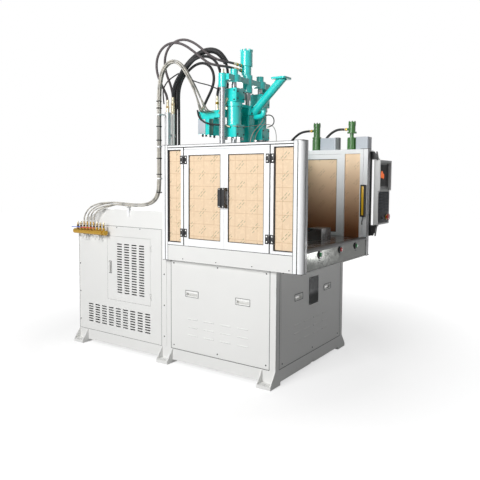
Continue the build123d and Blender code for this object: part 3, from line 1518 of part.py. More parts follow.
def write_fixed():
    """What stands on the floor and doesn't move."""
    save("base_frame", base_frame())
    save("sheet_panels", side_panel(), across(side_panel()), front_panel(), *skirt_panels())
    save("panel_pulls", *panel_pulls())
    save("cabinet_shell", cabinet_shell())
    save("power_unit", oil_tank(), pump_motor())
    save("guard_frame", *guard_frame())
    save("fixed_panes", *fixed_panes())
    save("hinge_leaves", *fixed_leaves())
    save("deck", deck())
    save("front_sill", front_sill())
    save("control_box", control_box(), *button_collars())
    save("light_curtains", *light_curtains())
    save("riser_block", riser_block())
    save("panel_post", panel_post())
    save("work_table", work_table())
    save("clamp_cylinder", clamp_cylinder())
    save("side_shelf", side_shelf())
    save("auxiliary_units", *aux_bodies(), *aux_motors(), aux_stem())
    save("auxiliary_boxes", *aux_boxes())
    save("water_manifold", manifold_bar(), *manifold_brackets())
    save("valve_levers", *valve_levers())
    save("hose_risers", *hose_risers(), *tube_clips())
    save("riser_fittings", *riser_fittings())


def write_doors():
    for name, place in (("front_door", front_door_place), ("rear_door", rear_door_place)):
        pieces = door_leaf(place)
        save("left_" + name, *pieces)
        save("right_" + name, *[across(piece) for piece in pieces])
        save("left_" + name + "_pane", door_pane(place))
        save("right_" + name + "_pane", across(door_pane(place)))
    save("cabinet_door", cabinet_door())
    save("cabinet_latch", cabinet_latch())


def write_controls():
    for name, x in zip(("start_button_left", "stop_button", "start_button_right"), button_x):
        save(name, push_button(x))
    save("panel_housing", panel_housing())
    save("panel_stop", panel_stop())


def write_clamp():
    save("tie_bars", *tie_bars(), *tie_nuts())
    save("pull_plate", pull_plate(), clamp_ram())
    save("upper_platen", upper_platen())
    save("columns", *stay_rods(), *guide_columns())
    save("injection_body", injection_body())
    save("barrel", barrel(), barrel_cover())
    save("hopper_chute", hopper_chute())
    save("terminal_boxes", terminal_arm(), *terminal_boxes())
    save("unit_fittings", *unit_fittings())
    save("crosshead", crosshead())
    save("piston_rods", *piston_rods())
    save("screw_motor", screw_motor(), *motor_fittings())
    save("screw", screw())


def write_cords():
    for name, points in (("hose_1", hose_1), ("hose_2", hose_2), ("hose_3", hose_3)):
        cord(name, points, hose)
    for name, points in (("loop_a", loop_a), ("loop_b", loop_b)):
        cord(name, points, loop)
    for index, points in enumerate((water_tube_1, water_tube_2, water_tube_3, water_tube_4)):
        cord(f"water_tube_{index + 1}", points, tube)


write_fixed()
write_doors()
write_controls()
write_clamp()
write_cords()
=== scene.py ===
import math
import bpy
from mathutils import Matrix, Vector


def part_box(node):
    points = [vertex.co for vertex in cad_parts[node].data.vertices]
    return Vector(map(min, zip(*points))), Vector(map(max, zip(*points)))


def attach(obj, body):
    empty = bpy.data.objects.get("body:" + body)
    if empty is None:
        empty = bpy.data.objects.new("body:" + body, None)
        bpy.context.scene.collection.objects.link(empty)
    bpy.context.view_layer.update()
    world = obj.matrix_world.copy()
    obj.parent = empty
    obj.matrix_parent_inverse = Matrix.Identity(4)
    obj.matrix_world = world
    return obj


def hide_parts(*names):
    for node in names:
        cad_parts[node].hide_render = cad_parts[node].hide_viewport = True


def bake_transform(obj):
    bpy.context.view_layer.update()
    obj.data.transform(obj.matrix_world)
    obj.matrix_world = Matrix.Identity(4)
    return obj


bl_info = {
    "name": "Vertical injection moulding machine",
    "version": (1, 0, 0),
    "blender": (4, 5, 0),
    "location": "View3D > Sidebar > Moulding",
    "description": "Dresses the machine's solids with hoses, fasteners, controls and finishes",
    "category": "Add Mesh",
}

import bpy
from mathutils import Matrix, Quaternion, Vector

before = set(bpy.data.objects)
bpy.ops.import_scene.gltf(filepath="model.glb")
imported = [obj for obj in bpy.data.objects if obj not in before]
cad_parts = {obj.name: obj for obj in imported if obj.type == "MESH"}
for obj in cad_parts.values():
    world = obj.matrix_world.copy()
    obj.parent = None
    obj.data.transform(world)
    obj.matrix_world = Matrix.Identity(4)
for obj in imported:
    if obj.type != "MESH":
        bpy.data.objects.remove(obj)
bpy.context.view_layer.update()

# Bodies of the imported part
FIXED = "machine"
CLAMP = "clamp"
HEAD = "injection_head"

# Directions
UP, DOWN = (0, 0, 1), (0, 0, -1)
FRONT, BACK = (0, -1, 0), (0, 1, 0)
SIDES = (-1, 1)

# Planes and lines of the machine, in metres; the left side lies at minus the side planes
BASE_SIDE = 0.635
GUARD_SIDE = 0.685
BASE_FRONT = -1.143
REAR = 1.143
KEY_FACE = -1.4456      # front of the keypad plate
MANIFOLD_X = -0.69
CYLINDER_X = 0.215      # each cylinder's distance from the middle
UNIT_Y = -0.448         # the injection unit's middle
PULL = 0.0705           # half the length of a panel pull's rim
VALVE_PITCH = 0.046     # from one valve of the manifold to the next
HINGE_HEIGHTS = (1.169, 1.785)
PANE_LOW = 1.121
PANE_TOP = 1.824
BUTTON_Z = 1.04

# Buttons on the sill: body, place and finish
BUTTONS = (("left_start", -0.372, "green_plastic"), ("stop", 0.023, "red_plastic"),
           ("right_start", 0.358, "green_plastic"))

# Diameters of the hoses, and the lines of print to a metre of the panes' film
HOSE = 0.024
LOOP = 0.022
FILM_PITCH = 6.4

# Guard doors: the hinge's line, the way the door reaches from it, the pane's two ends and the grip's line
DOOR_LINES = {"front": (-1.107, 1, -1.054, -0.718, -0.7), "rear": (-0.26, -1, -0.644, -0.313, -0.662)}
DOORS = [(hand + "_" + place + "_door", place + "_door_" + hand, side) + DOOR_LINES[place]
         for side, hand in ((-1, "left"), (1, "right")) for place in ("front", "rear")]

# Strips in the guard's grooves and gaps, each on both sides: x, y and z from and to
STRIPS = (
    (0.677, 0.6848, -1.3474, -1.3386, 0.926, 1.911),
    (0.677, 0.6852, -1.3114, -1.3066, 0.926, 1.911),
    (0.6366, 0.6454, -1.3868, -1.379, 0.926, 1.911),
    (0.604, 0.6095, -1.3868, -1.3826, 1.095, 1.911),
    (0.6, 0.6095, -1.3466, -1.3394, 0.926, 1.06),
    (0.677, 0.6848, -0.0574, -0.0486, 0.926, 1.911),
    (0.677, 0.6852, -0.0844, -0.0796, 0.926, 1.911),
    (0.677, 0.6846, -1.306, -0.084, 1.886, 1.8942),
    (0.6815, 0.6858, -1.306, -0.084, 1.0563, 1.0609),
    (0.6815, 0.6858, -1.306, -0.084, 1.9082, 1.9122),
    (0.677, 0.6855, -1.1125, -1.1015, 1.062, 1.886),
    (0.677, 0.6855, -0.2655, -0.2545, 1.062, 1.886),
)

# Finishes by name, filled by the operator that mixes them
finish = {}

# Hose and tube routes, in metres
hose_1_route = [
    (-0.452, 0.06, 2.309), (-0.452, 0.06, 2.385), (-0.453, 0.044, 2.464), (-0.447, -0.002, 2.54),
    (-0.436, -0.064, 2.606), (-0.421, -0.13, 2.66), (-0.403, -0.2, 2.694), (-0.381, -0.268, 2.7),
    (-0.358, -0.326, 2.674), (-0.335, -0.36, 2.62), (-0.311, -0.37, 2.554), (-0.292, -0.352, 2.492),
    (-0.274, -0.322, 2.436), (-0.265, -0.3, 2.38), (-0.265, -0.3, 2.318)]
hose_2_route = [
    (-0.395, 0.075, 1.373), (-0.395, 0.075, 2.3), (-0.395, 0.063, 2.38), (-0.395, 0.053, 2.469),
    (-0.392, 0.015, 2.559), (-0.385, -0.047, 2.639), (-0.372, -0.129, 2.709), (-0.352, -0.221, 2.755),
    (-0.318, -0.301, 2.759), (-0.274, -0.353, 2.721), (-0.23, -0.373, 2.655), (-0.196, -0.367, 2.574),
    (-0.18, -0.355, 2.498), (-0.18, -0.345, 2.4), (-0.18, -0.345, 2.335)]
hose_3_route = [
    (-0.365, 0.06, 1.373), (-0.365, 0.06, 2.29), (-0.365, 0.063, 2.37), (-0.365, 0.053, 2.46),
    (-0.364, 0.011, 2.543), (-0.362, -0.06, 2.608), (-0.357, -0.142, 2.65), (-0.35, -0.218, 2.652),
    (-0.34, -0.278, 2.618), (-0.329, -0.306, 2.558), (-0.316, -0.302, 2.49), (-0.301, -0.268, 2.428),
    (-0.285, -0.22, 2.372), (-0.267, -0.172, 2.322), (-0.25, -0.124, 2.268)]
loop_a_route = [
    (-0.53, 0.052, 2.276), (-0.53, 0.052, 2.346), (-0.556, 0.078, 2.423), (-0.586, 0.103, 2.5),
    (-0.606, 0.115, 2.586), (-0.614, 0.103, 2.674), (-0.608, 0.062, 2.749), (-0.592, -0.002, 2.795),
    (-0.566, -0.083, 2.804), (-0.534, -0.156, 2.774), (-0.502, -0.218, 2.723), (-0.472, -0.281, 2.668),
    (-0.442, -0.339, 2.618), (-0.412, -0.378, 2.606), (-0.355, -0.405, 2.604), (-0.282, -0.42, 2.609),
    (-0.212, -0.422, 2.61), (-0.145, -0.422, 2.61)]
loop_b_route = [
    (-0.425, 0.085, 1.373), (-0.425, 0.085, 2.29), (-0.432, 0.076, 2.38), (-0.448, 0.087, 2.47),
    (-0.47, 0.111, 2.549), (-0.488, 0.124, 2.636), (-0.496, 0.111, 2.726), (-0.492, 0.069, 2.801),
    (-0.48, -0.003, 2.845), (-0.464, -0.093, 2.85), (-0.446, -0.174, 2.816), (-0.426, -0.241, 2.764),
    (-0.408, -0.296, 2.712), (-0.388, -0.352, 2.674), (-0.343, -0.392, 2.652), (-0.276, -0.416, 2.65),
    (-0.21, -0.422, 2.653), (-0.145, -0.422, 2.653)]
water_tube_1_route = [
    (-0.69, 0.995, 1.207), (-0.69, 0.995, 1.25), (-0.68, 0.953, 1.322), (-0.664, 0.9, 1.361),
    (-0.645, 0.829, 1.385), (-0.627, 0.737, 1.396), (-0.621, 0.637, 1.4), (-0.627, 0.505, 1.394),
    (-0.629, 0.38, 1.39), (-0.629, 0.267, 1.394), (-0.629, 0.185, 1.412), (-0.629, 0.125, 1.447),
    (-0.629, 0.097, 1.497), (-0.629, 0.082, 1.56), (-0.629, 0.082, 2.323), (-0.629, 0.073, 2.428),
    (-0.626, 0.06, 2.518), (-0.62, 0.029, 2.591), (-0.611, -0.025, 2.64), (-0.599, -0.092, 2.648),
    (-0.584, -0.147, 2.612), (-0.565, -0.187, 2.552), (-0.542, -0.213, 2.491), (-0.514, -0.232, 2.432),
    (-0.483, -0.25, 2.372), (-0.446, -0.262, 2.314), (-0.402, -0.268, 2.262), (-0.352, -0.268, 2.224),
    (-0.298, -0.268, 2.224)]
water_tube_2_route = [
    (-0.69, 0.949, 1.207), (-0.69, 0.949, 1.25), (-0.68, 0.915, 1.311), (-0.66, 0.873, 1.346),
    (-0.634, 0.819, 1.372), (-0.612, 0.743, 1.389), (-0.603, 0.637, 1.4), (-0.609, 0.505, 1.394),
    (-0.611, 0.38, 1.39), (-0.611, 0.267, 1.394), (-0.611, 0.185, 1.412), (-0.611, 0.125, 1.447),
    (-0.611, 0.097, 1.497), (-0.611, 0.082, 1.56), (-0.611, 0.082, 2.323), (-0.611, 0.073, 2.428),
    (-0.608, 0.06, 2.518), (-0.602, 0.029, 2.591), (-0.593, -0.025, 2.64), (-0.581, -0.092, 2.648),
    (-0.566, -0.147, 2.612), (-0.547, -0.187, 2.552), (-0.524, -0.213, 2.491), (-0.496, -0.23, 2.434),
    (-0.465, -0.242, 2.376), (-0.429, -0.246, 2.32), (-0.391, -0.242, 2.268), (-0.35, -0.232, 2.226),
    (-0.298, -0.232, 2.226)]
water_tube_3_route = [
    (-0.69, 0.903, 1.207), (-0.69, 0.903, 1.25), (-0.682, 0.877, 1.306), (-0.666, 0.838, 1.335),
    (-0.646, 0.784, 1.355), (-0.63, 0.71, 1.37), (-0.621, 0.637, 1.382), (-0.627, 0.505, 1.376),
    (-0.629, 0.38, 1.372), (-0.629, 0.265, 1.376), (-0.629, 0.179, 1.396), (-0.629, 0.113, 1.435),
    (-0.629, 0.081, 1.491), (-0.629, 0.064, 1.56), (-0.629, 0.064, 2.323), (-0.629, 0.055, 2.426),
    (-0.626, 0.042, 2.514), (-0.62, 0.015, 2.581), (-0.611, -0.033, 2.624), (-0.599, -0.088, 2.63),
    (-0.584, -0.135, 2.6), (-0.565, -0.171, 2.544), (-0.542, -0.197, 2.483), (-0.514, -0.213, 2.427),
    (-0.482, -0.222, 2.368), (-0.445, -0.222, 2.312), (-0.402, -0.214, 2.262), (-0.352, -0.202, 2.224),
    (-0.298, -0.202, 2.224)]
water_tube_4_route = [
    (-0.69, 0.857, 1.207), (-0.69, 0.857, 1.25), (-0.68, 0.834, 1.3), (-0.66, 0.811, 1.325),
    (-0.636, 0.77, 1.344), (-0.614, 0.714, 1.359), (-0.603, 0.637, 1.382), (-0.609, 0.505, 1.376),
    (-0.611, 0.38, 1.372), (-0.611, 0.265, 1.376), (-0.611, 0.179, 1.396), (-0.611, 0.113, 1.435),
    (-0.611, 0.081, 1.491), (-0.611, 0.064, 1.56), (-0.611, 0.064, 2.323), (-0.611, 0.055, 2.426),
    (-0.608, 0.042, 2.514), (-0.602, 0.015, 2.581), (-0.593, -0.033, 2.624), (-0.581, -0.088, 2.63),
    (-0.566, -0.135, 2.6), (-0.547, -0.171, 2.544), (-0.524, -0.197, 2.483), (-0.496, -0.207, 2.43),
    (-0.464, -0.21, 2.374), (-0.428, -0.204, 2.32), (-0.39, -0.19, 2.268), (-0.35, -0.172, 2.226),
    (-0.298, -0.172, 2.226)]


def paint_code(red, green, blue):
    """A colour as a paint chart gives it, from 0 to 255, made linear."""
    shares = [value / 255 for value in (red, green, blue)]
    return tuple(s / 12.92 if s <= 0.04045 else ((s + 0.055) / 1.055) ** 2.4 for s in shares)


def colour(name, description, default):
    return bpy.props.FloatVectorProperty(name=name, description=description, default=default,
                                         size=3, min=0, max=1, subtype="COLOR")


def length(name, description, default):
    return bpy.props.FloatProperty(name=name, description=description, default=default,
                                   min=0.0001, subtype="DISTANCE", unit="LENGTH")


class MachineColours(bpy.types.PropertyGroup):
    """Colours that a user may change."""

    body: colour("Body paint", "Paint of the base and the cabinet", paint_code(228, 228, 226))
    guard: colour("Guard profiles", "White coated profiles and doors", paint_code(246, 247, 248))
    casting: colour("Injection unit", "Paint of the castings on top", paint_code(34, 226, 220))
    pane: colour("Pane film", "Film on the guard's panes", paint_code(232, 206, 174))
    auxiliary: colour("Auxiliary units", "Paint of the two small units", paint_code(62, 122, 52))
    boxes: colour("Unit boxes", "Coat of the two boxes beside the units", paint_code(196, 202, 210))
    lever: colour("Valve levers", "Coat of the valve levers", paint_code(196, 44, 40))
    stop: colour("Stop buttons", "Colour of the stop buttons", paint_code(206, 28, 30))
    start: colour("Start buttons", "Colour of the two start buttons", paint_code(32, 142, 74))


class MachineSizes(bpy.types.PropertyGroup):
    """Sizes that a user may change."""

    screw: length("Panel screw", "Head diameter of the panel screws", 0.013)
    bolt: length("Casting bolt", "Head diameter of the bolts in the castings", 0.018)
    seal: length("Pane seal", "Width of the rubber seal round a pane", 0.0045)
    wire: length("Wire", "Diameter of the thin wires", 0.006)
    tie: length("Tube tie", "Width of the ties round the tubes", 0.009)


# Shader graphs

class Graph:
    """A node tree that is filled from names and values."""

    def __init__(self, tree):
        self.tree = tree
        tree.nodes.clear()

    def add(self, kind, inputs=None, **settings):
        node = self.tree.nodes.new("ShaderNode" + kind)
        for key, value in settings.items():
            setattr(node, key, value)
        self.feed(node, inputs or {})
        return node

    def feed(self, node, inputs):
        """Links sockets to the node's inputs and sets the plain values."""
        for key, value in inputs.items():
            if isinstance(value, bpy.types.NodeSocket):
                self.tree.links.new(value, node.inputs[key])
            else:
                node.inputs[key].default_value = value

    def group(self, name, inputs):
        return self.add("Group", inputs, node_tree=bpy.data.node_groups[name]).outputs

    def math(self, operation, first, second=0.0, clamp=False):
        return self.add("Math", {0: first, 1: second}, operation=operation, use_clamp=clamp).outputs[0]

    def plus(self, first, second, clamp=False):
        return self.math("ADD", first, second, clamp)

    def times(self, first, second, clamp=False):
        return self.math("MULTIPLY", first, second, clamp)

    def most(self, first, *others):
        for other in others:
            first = self.math("MAXIMUM", first, other)
        return first

    def below(self, value, limit):
        return self.math("LESS_THAN", value, limit)

    def fract(self, value):
        return self.math("FRACT", value)

    def vector(self, operation, first, second=(0, 0, 0), output="Vector"):
        return self.add("VectorMath", {0: first, 1: second}, operation=operation).outputs[output]

    def parts(self, vector):
        return self.add("SeparateXYZ", {0: vector}).outputs

    def mix(self, factor, first, second):
        return self.add("Mix", {0: factor, 6: first, 7: second}, data_type="RGBA").outputs[2]

    def ramp(self, value, low, high, start=0.0, end=1.0):
        return self.add("MapRange", {0: value, 1: low, 2: high, 3: start, 4: end}, clamp=True).outputs[0]

    def shaded(self, colour, shade):
        """The colour times a shade."""
        grey = self.add("CombineXYZ", {0: shade, 1: shade, 2: shade}).outputs[0]
        return self.vector("MULTIPLY", colour, grey)

    def place(self, kind="Object"):
        return self.add("TexCoord").outputs[kind]

    def noise(self, place, scale, detail):
        return self.add("TexNoise", {"Vector": place, "Scale": scale, "Detail": detail}).outputs[0]

    def bump(self, height, strength, distance, more=None):
        inputs = {"Height": height, "Strength": strength, "Distance": distance}
        return self.add("Bump", inputs | (more or {})).outputs[0]


def rgba(colour):
    """The colour with full opacity."""
    return tuple(colour) + (1.0,)


def new_group(name, inputs, outputs):
    """An empty shader group with named sockets: its graph, what it is given and what it puts out."""
    tree = bpy.data.node_groups.new(name, "ShaderNodeTree")
    graph = Graph(tree)
    for label, kind, default in inputs:
        socket = tree.interface.new_socket(label, in_out="INPUT", socket_type="NodeSocket" + kind)
        socket.default_value = default
    for label, kind in outputs:
        tree.interface.new_socket(label, in_out="OUTPUT", socket_type="NodeSocket" + kind)
    return graph, tree.nodes.new("NodeGroupInput").outputs, tree.nodes.new("NodeGroupOutput")


SKIN = [("Colour", "Color"), ("Roughness", "Float"), ("Normal", "Vector")]


def make_edge_group():
    """Mask of the worn edges: where the rounded normal leaves the true one."""
    graph, given, out = new_group("Edge wear", [("Radius", "Float", 0.003), ("Amount", "Float", 0.5)],
                                  [("Mask", "Float")])
    rounded = graph.add("Bevel", {"Radius": given["Radius"]}, samples=4).outputs[0]
    true = graph.add("NewGeometry").outputs["Normal"]
    edge = graph.ramp(graph.vector("DOT_PRODUCT", rounded, true, "Value"), 0.995, 0.9)
    patchy = graph.ramp(graph.noise(graph.place(), 60.0, 6.0), 0.42, 0.62)
    graph.feed(out, {"Mask": graph.times(graph.times(edge, patchy), given["Amount"], True)})


def make_paint_group():
    """Sprayed paint: faint cloudiness, orange peel, dust on what looks up and grime near the floor."""
    graph, given, out = new_group(
        "Sprayed paint",
        [("Colour", "Color", (0.8, 0.8, 0.8, 1)), ("Roughness", "Float", 0.35), ("Peel", "Float", 0.15),
         ("Dust", "Float", 0.15), ("Grime", "Float", 0.1)], SKIN)
    place = graph.place()
    fine = graph.noise(place, 38.0, 5.0)
    up = graph.parts(graph.add("NewGeometry").outputs["Normal"])[2]
    dusty = graph.times(graph.ramp(up, 0.5, 1.0), graph.ramp(fine, 0.35, 0.65))
    dusty = graph.times(dusty, given["Dust"])
    low = graph.times(graph.ramp(graph.parts(place)[2], 0.35, 0.0), graph.ramp(fine, 0.4, 0.7))
    toned = graph.shaded(given["Colour"], graph.ramp(graph.noise(place, 2.3, 4.0), 0.3, 0.7, 0.975, 1.0))
    toned = graph.mix(dusty, toned, (0.55, 0.54, 0.5, 1))
    toned = graph.mix(graph.times(low, given["Grime"]), toned, (0.3, 0.28, 0.25, 1))
    rough = graph.plus(given["Roughness"], graph.ramp(fine, 0.3, 0.7, -0.05, 0.07))
    graph.feed(out, {"Colour": toned, "Roughness": graph.plus(rough, graph.times(dusty, 0.4), True),
                     "Normal": graph.bump(graph.noise(place, 420.0, 2.0), given["Peel"], 0.0004)})


def make_grain_group():
    """Machined metal: fine lines along one axis and cloudy roughness."""
    graph, given, out = new_group(
        "Machined grain",
        [("Colour", "Color", (0.6, 0.6, 0.6, 1)), ("Roughness", "Float", 0.3),
         ("Stretch", "Vector", (4, 4, 200)), ("Depth", "Float", 0.1)], SKIN)
    place = graph.place()
    lines = graph.noise(graph.vector("MULTIPLY", place, given["Stretch"]), 2.0, 4.0)
    rough = graph.plus(given["Roughness"], graph.ramp(lines, 0.3, 0.7, -0.06, 0.08))
    rough = graph.plus(rough, graph.ramp(graph.noise(place, 9.0, 3.0), 0.3, 0.7, -0.04, 0.06), True)
    graph.feed(out, {"Colour": graph.shaded(given["Colour"], graph.ramp(lines, 0.25, 0.75, 0.86, 1.06)),
                     "Roughness": rough, "Normal": graph.bump(lines, given["Depth"], 0.0003)})


def make_zone_group():
    """Mask of a box in the machine's frame, from its middle and half size."""
    graph, given, out = new_group("Zone", [("Middle", "Vector", (0, 0, 0)), ("Half", "Vector", (1, 1, 1))],
                                  [("Mask", "Float")])
    away = graph.vector("ABSOLUTE", graph.vector("SUBTRACT", graph.place(), given["Middle"]))
    past = graph.parts(graph.vector("SUBTRACT", away, given["Half"]))
    graph.feed(out, {"Mask": graph.below(graph.most(*past), 0.0)})


def make_rib_group():
    """Rings along a hose, from the length share in its UV map: their height and a mask of painted shade in
    the grooves.
    """
    graph, given, out = new_group("Hose rings", [("Rings", "Float", 200.0)],
                                  [("Height", "Float"), ("Groove", "Float")])
    turn = graph.times(graph.times(graph.parts(graph.place("UV"))[0], given["Rings"]), 2 * math.pi)
    wave = graph.ramp(graph.math("SINE", turn), -1.0, 1.0)
    graph.feed(out, {"Height": wave, "Groove": graph.ramp(wave, 0.35, 0.05)})


def make_film_group():
    """Protective film: slanting lines of short dashes in groups and a grid of fold lines."""
    graph, given, out = new_group("Film print", [("Pitch", "Float", 7.0)],
                                  [("Strokes", "Float"), ("Grid", "Float")])
    x, y, high = graph.parts(graph.place())
    flat = graph.plus(x, y)
    across = graph.times(graph.plus(flat, high), given["Pitch"])
    along = graph.times(graph.math("SUBTRACT", high, flat), given["Pitch"])
    shifted = graph.plus(graph.times(along, 0.62), graph.times(graph.math("FLOOR", across), 0.41))
    strokes = 0.0
    for middle, shift in ((0.36, 0.0), (0.54, 0.5)):
        away = graph.math("ABSOLUTE", graph.math("SUBTRACT", graph.fract(across), middle))
        dash = graph.fract(graph.plus(graph.times(along, 2.6), shift))
        strokes = graph.most(strokes, graph.times(graph.below(away, 0.026), graph.below(dash, 0.7)))
    folds = [graph.below(graph.fract(graph.times(way, 9.6)), 0.05) for way in (high, flat)]
    graph.feed(out, {"Strokes": graph.times(graph.below(graph.fract(shifted), 0.5), strokes),
                     "Grid": graph.most(*folds)})


# Materials

def new_material(name):
    material = bpy.data.materials.new(name)
    material.use_nodes = True
    graph = Graph(material.node_tree)
    shader = graph.add("BsdfPrincipled")
    graph.add("OutputMaterial", {0: shader.outputs[0]})
    finish[name] = material
    return graph, shader


def painted(name, colour, roughness=0.35, peel=0.15, dust=0.12, grime=0.1, wear=0.0, under=(0.25, 0.25, 0.25),
            coat=0.0, metallic=0.0):
    """Paint with worn edges down to what is under it."""
    graph, shader = new_material(name)
    skin = graph.group("Sprayed paint", {"Colour": rgba(colour), "Roughness": roughness, "Peel": peel,
                                         "Dust": dust, "Grime": grime})
    base = skin["Colour"]
    if wear:
        edge = graph.group("Edge wear", {"Radius": 0.004, "Amount": wear})["Mask"]
        base = graph.mix(edge, base, rgba(under))
    graph.feed(shader, {"Base Color": base, "Roughness": skin["Roughness"], "Normal": skin["Normal"],
                        "Coat Weight": coat, "Metallic": metallic})
    return graph, shader, base


def moulded(name, colour, roughness=0.45, coat=0.0):
    """Moulded plastic or rubber: fine texture and faint dust."""
    return painted(name, colour, roughness, peel=0.25, dust=0.1, grime=0.05, coat=coat)


def machined(name, colour, roughness, stretch, depth=0.12, metallic=1.0):
    """Metal with machining lines."""
    graph, shader = new_material(name)
    skin = graph.group("Machined grain", {"Colour": rgba(colour), "Roughness": roughness, "Stretch": stretch,
                                          "Depth": depth})
    graph.feed(shader, {"Base Color": skin["Colour"], "Roughness": skin["Roughness"],
                        "Normal": skin["Normal"], "Metallic": metallic})


def hose_material(name, colour, rings, groove_shade, roughness=0.5, depth=0.6):
    """Hose with rings along it and painted shade in the grooves between them."""
    graph, shader = new_material(name)
    ribs = graph.group("Hose rings", {"Rings": rings})
    skin = graph.group("Sprayed paint", {"Colour": rgba(colour), "Roughness": roughness, "Peel": 0.1,
                                         "Dust": 0.25, "Grime": 0.0})
    graph.feed(shader, {"Base Color": graph.mix(ribs["Groove"], skin["Colour"], rgba(groove_shade)),
                        "Roughness": skin["Roughness"],
                        "Normal": graph.bump(ribs["Height"], depth, 0.002, {"Normal": skin["Normal"]})})


def make_pane_film(colour):
    """Protective film on the outer side of the panes."""
    graph, shader = new_material("pane_film")
    film = graph.group("Film print", {"Pitch": FILM_PITCH})
    skin = graph.group("Sprayed paint", {"Colour": rgba(colour), "Roughness": 0.25, "Peel": 0.03,
                                         "Dust": 0.0, "Grime": 0.0})
    base = graph.mix(graph.times(film["Grid"], 0.5), skin["Colour"], rgba(paint_code(196, 160, 120)))
    base = graph.mix(graph.times(film["Strokes"], 0.7), base, rgba(paint_code(150, 146, 112)))
    graph.feed(shader, {"Base Color": base, "Roughness": skin["Roughness"], "Coat Weight": 0.15})


def make_inner_film():
    """Inner side of the panes' film, its colour painted shade and light: dark brown low down, pale towards
    the top rail.
    """
    graph, shader = new_material("inner_film_painted_shade")
    film = graph.group("Film print", {"Pitch": FILM_PITCH})
    high = graph.ramp(graph.parts(graph.place())[2], 1.14, 1.8)
    base = graph.mix(high, rgba(paint_code(150, 92, 52)), rgba(paint_code(250, 220, 184)))
    base = graph.mix(graph.times(film["Strokes"], 0.3), base, rgba(paint_code(70, 50, 34)))
    graph.feed(shader, {"Base Color": base, "Roughness": 0.3})


class MACHINE_OT_finishes(bpy.types.Operator):
    """Mixes the finishes and gives one to each solid"""
    bl_idname = "machine.finishes"
    bl_label = "Finishes"

    def execute(self, context):
        colours = context.scene.machine_colours
        for make in (make_edge_group, make_paint_group, make_grain_group, make_zone_group, make_rib_group,
                     make_film_group, make_inner_film):
            make()
        make_pane_film(colours.pane)
        painted("body_paint", colours.body, 0.38, peel=0.2, dust=0.08, grime=0.0, wear=0.2, coat=0.05)
        painted("guard_paint", colours.guard, 0.3, peel=0.1, dust=0.03, wear=0.05, coat=0.1)
        painted("casting_paint", colours.casting, 0.2, peel=0.12, dust=0.06, wear=0.5,
                under=(0.1, 0.3, 0.28), coat=0.5)
        painted("auxiliary_paint", colours.auxiliary, 0.3, wear=0.4, coat=0.2)
        painted("unit_box_coat", colours.boxes, 0.3, peel=0.1, coat=0.1)
        painted("tank_paint", paint_code(120, 124, 130), 0.4, wear=0.4)
        painted("black_coat", paint_code(26, 26, 28), 0.4, peel=0.2, wear=0.3, under=(0.2, 0.2, 0.2))
        painted("control_coat", paint_code(66, 68, 64), 0.11, peel=0.05, dust=0.02, wear=0.1, coat=0.05,
                metallic=0.8)
        moulded("black_plastic", paint_code(24, 24, 26), 0.38)
        moulded("seal_rubber", paint_code(22, 22, 24), 0.6)
        moulded("panel_grey", paint_code(222, 223, 222), 0.42)
        moulded("white_plastic", paint_code(240, 240, 238), 0.35)
        moulded("red_plastic", colours.stop, 0.22, coat=0.4)
        moulded("green_plastic", colours.start, 0.22, coat=0.4)
        moulded("yellow_plastic", paint_code(240, 190, 30), 0.35, coat=0.1)
        moulded("dark_plate", paint_code(58, 60, 62), 0.5)
        moulded("deep_green", paint_code(18, 74, 66), 0.35)
        machined("ground_steel", (0.24, 0.24, 0.24), 0.26, (160, 4, 4))
        machined("deck_steel", (0.36, 0.35, 0.34), 0.22, (120, 3, 3))
        machined("hard_chrome", (0.3, 0.31, 0.32), 0.28, (4, 4, 60), 0.03)
        machined("brass", (0.5, 0.3, 0.05), 0.3, (30, 160, 30))
        machined("pale_brass", (0.6, 0.54, 0.4), 0.3, (30, 30, 120))
        machined("zinc", (0.62, 0.62, 0.6), 0.34, (30, 30, 30))
        machined("dark_bolt", (0.06, 0.06, 0.065), 0.35, (30, 30, 30), metallic=0.8)
        # The first entry is near-black painted shade for the inner faces of the cabinet and sheets; the
        # keypad, keys and display have their own colours.
        for name, shade in (("painted_shade_inside", 10), ("keypad", 30), ("key_plastic", 52), ("display", 8)):
            graph, shader, base = moulded(name, paint_code(shade, shade * 1.08, shade * 1.2), 0.6)
            graph.feed(shader, {"Specular IOR Level": 0.2})
        graph, shader, base = moulded("amber_lamp", paint_code(200, 80, 6), 0.5)
        graph.feed(shader, {"Emission Color": rgba(paint_code(255, 110, 10)), "Emission Strength": 0.6})
        graph, shader, base = painted("lever_coat", colours.lever, 0.3, coat=0.2)
        blue_end = graph.group("Zone", {"Middle": (MANIFOLD_X, 1.12, 1.15), "Half": (0.12, 0.106, 0.1)})
        graph.feed(shader, {"Base Color": graph.mix(blue_end["Mask"], base, rgba(paint_code(32, 84, 186)))})
        dress_nodes()
        return {"FINISHED"}


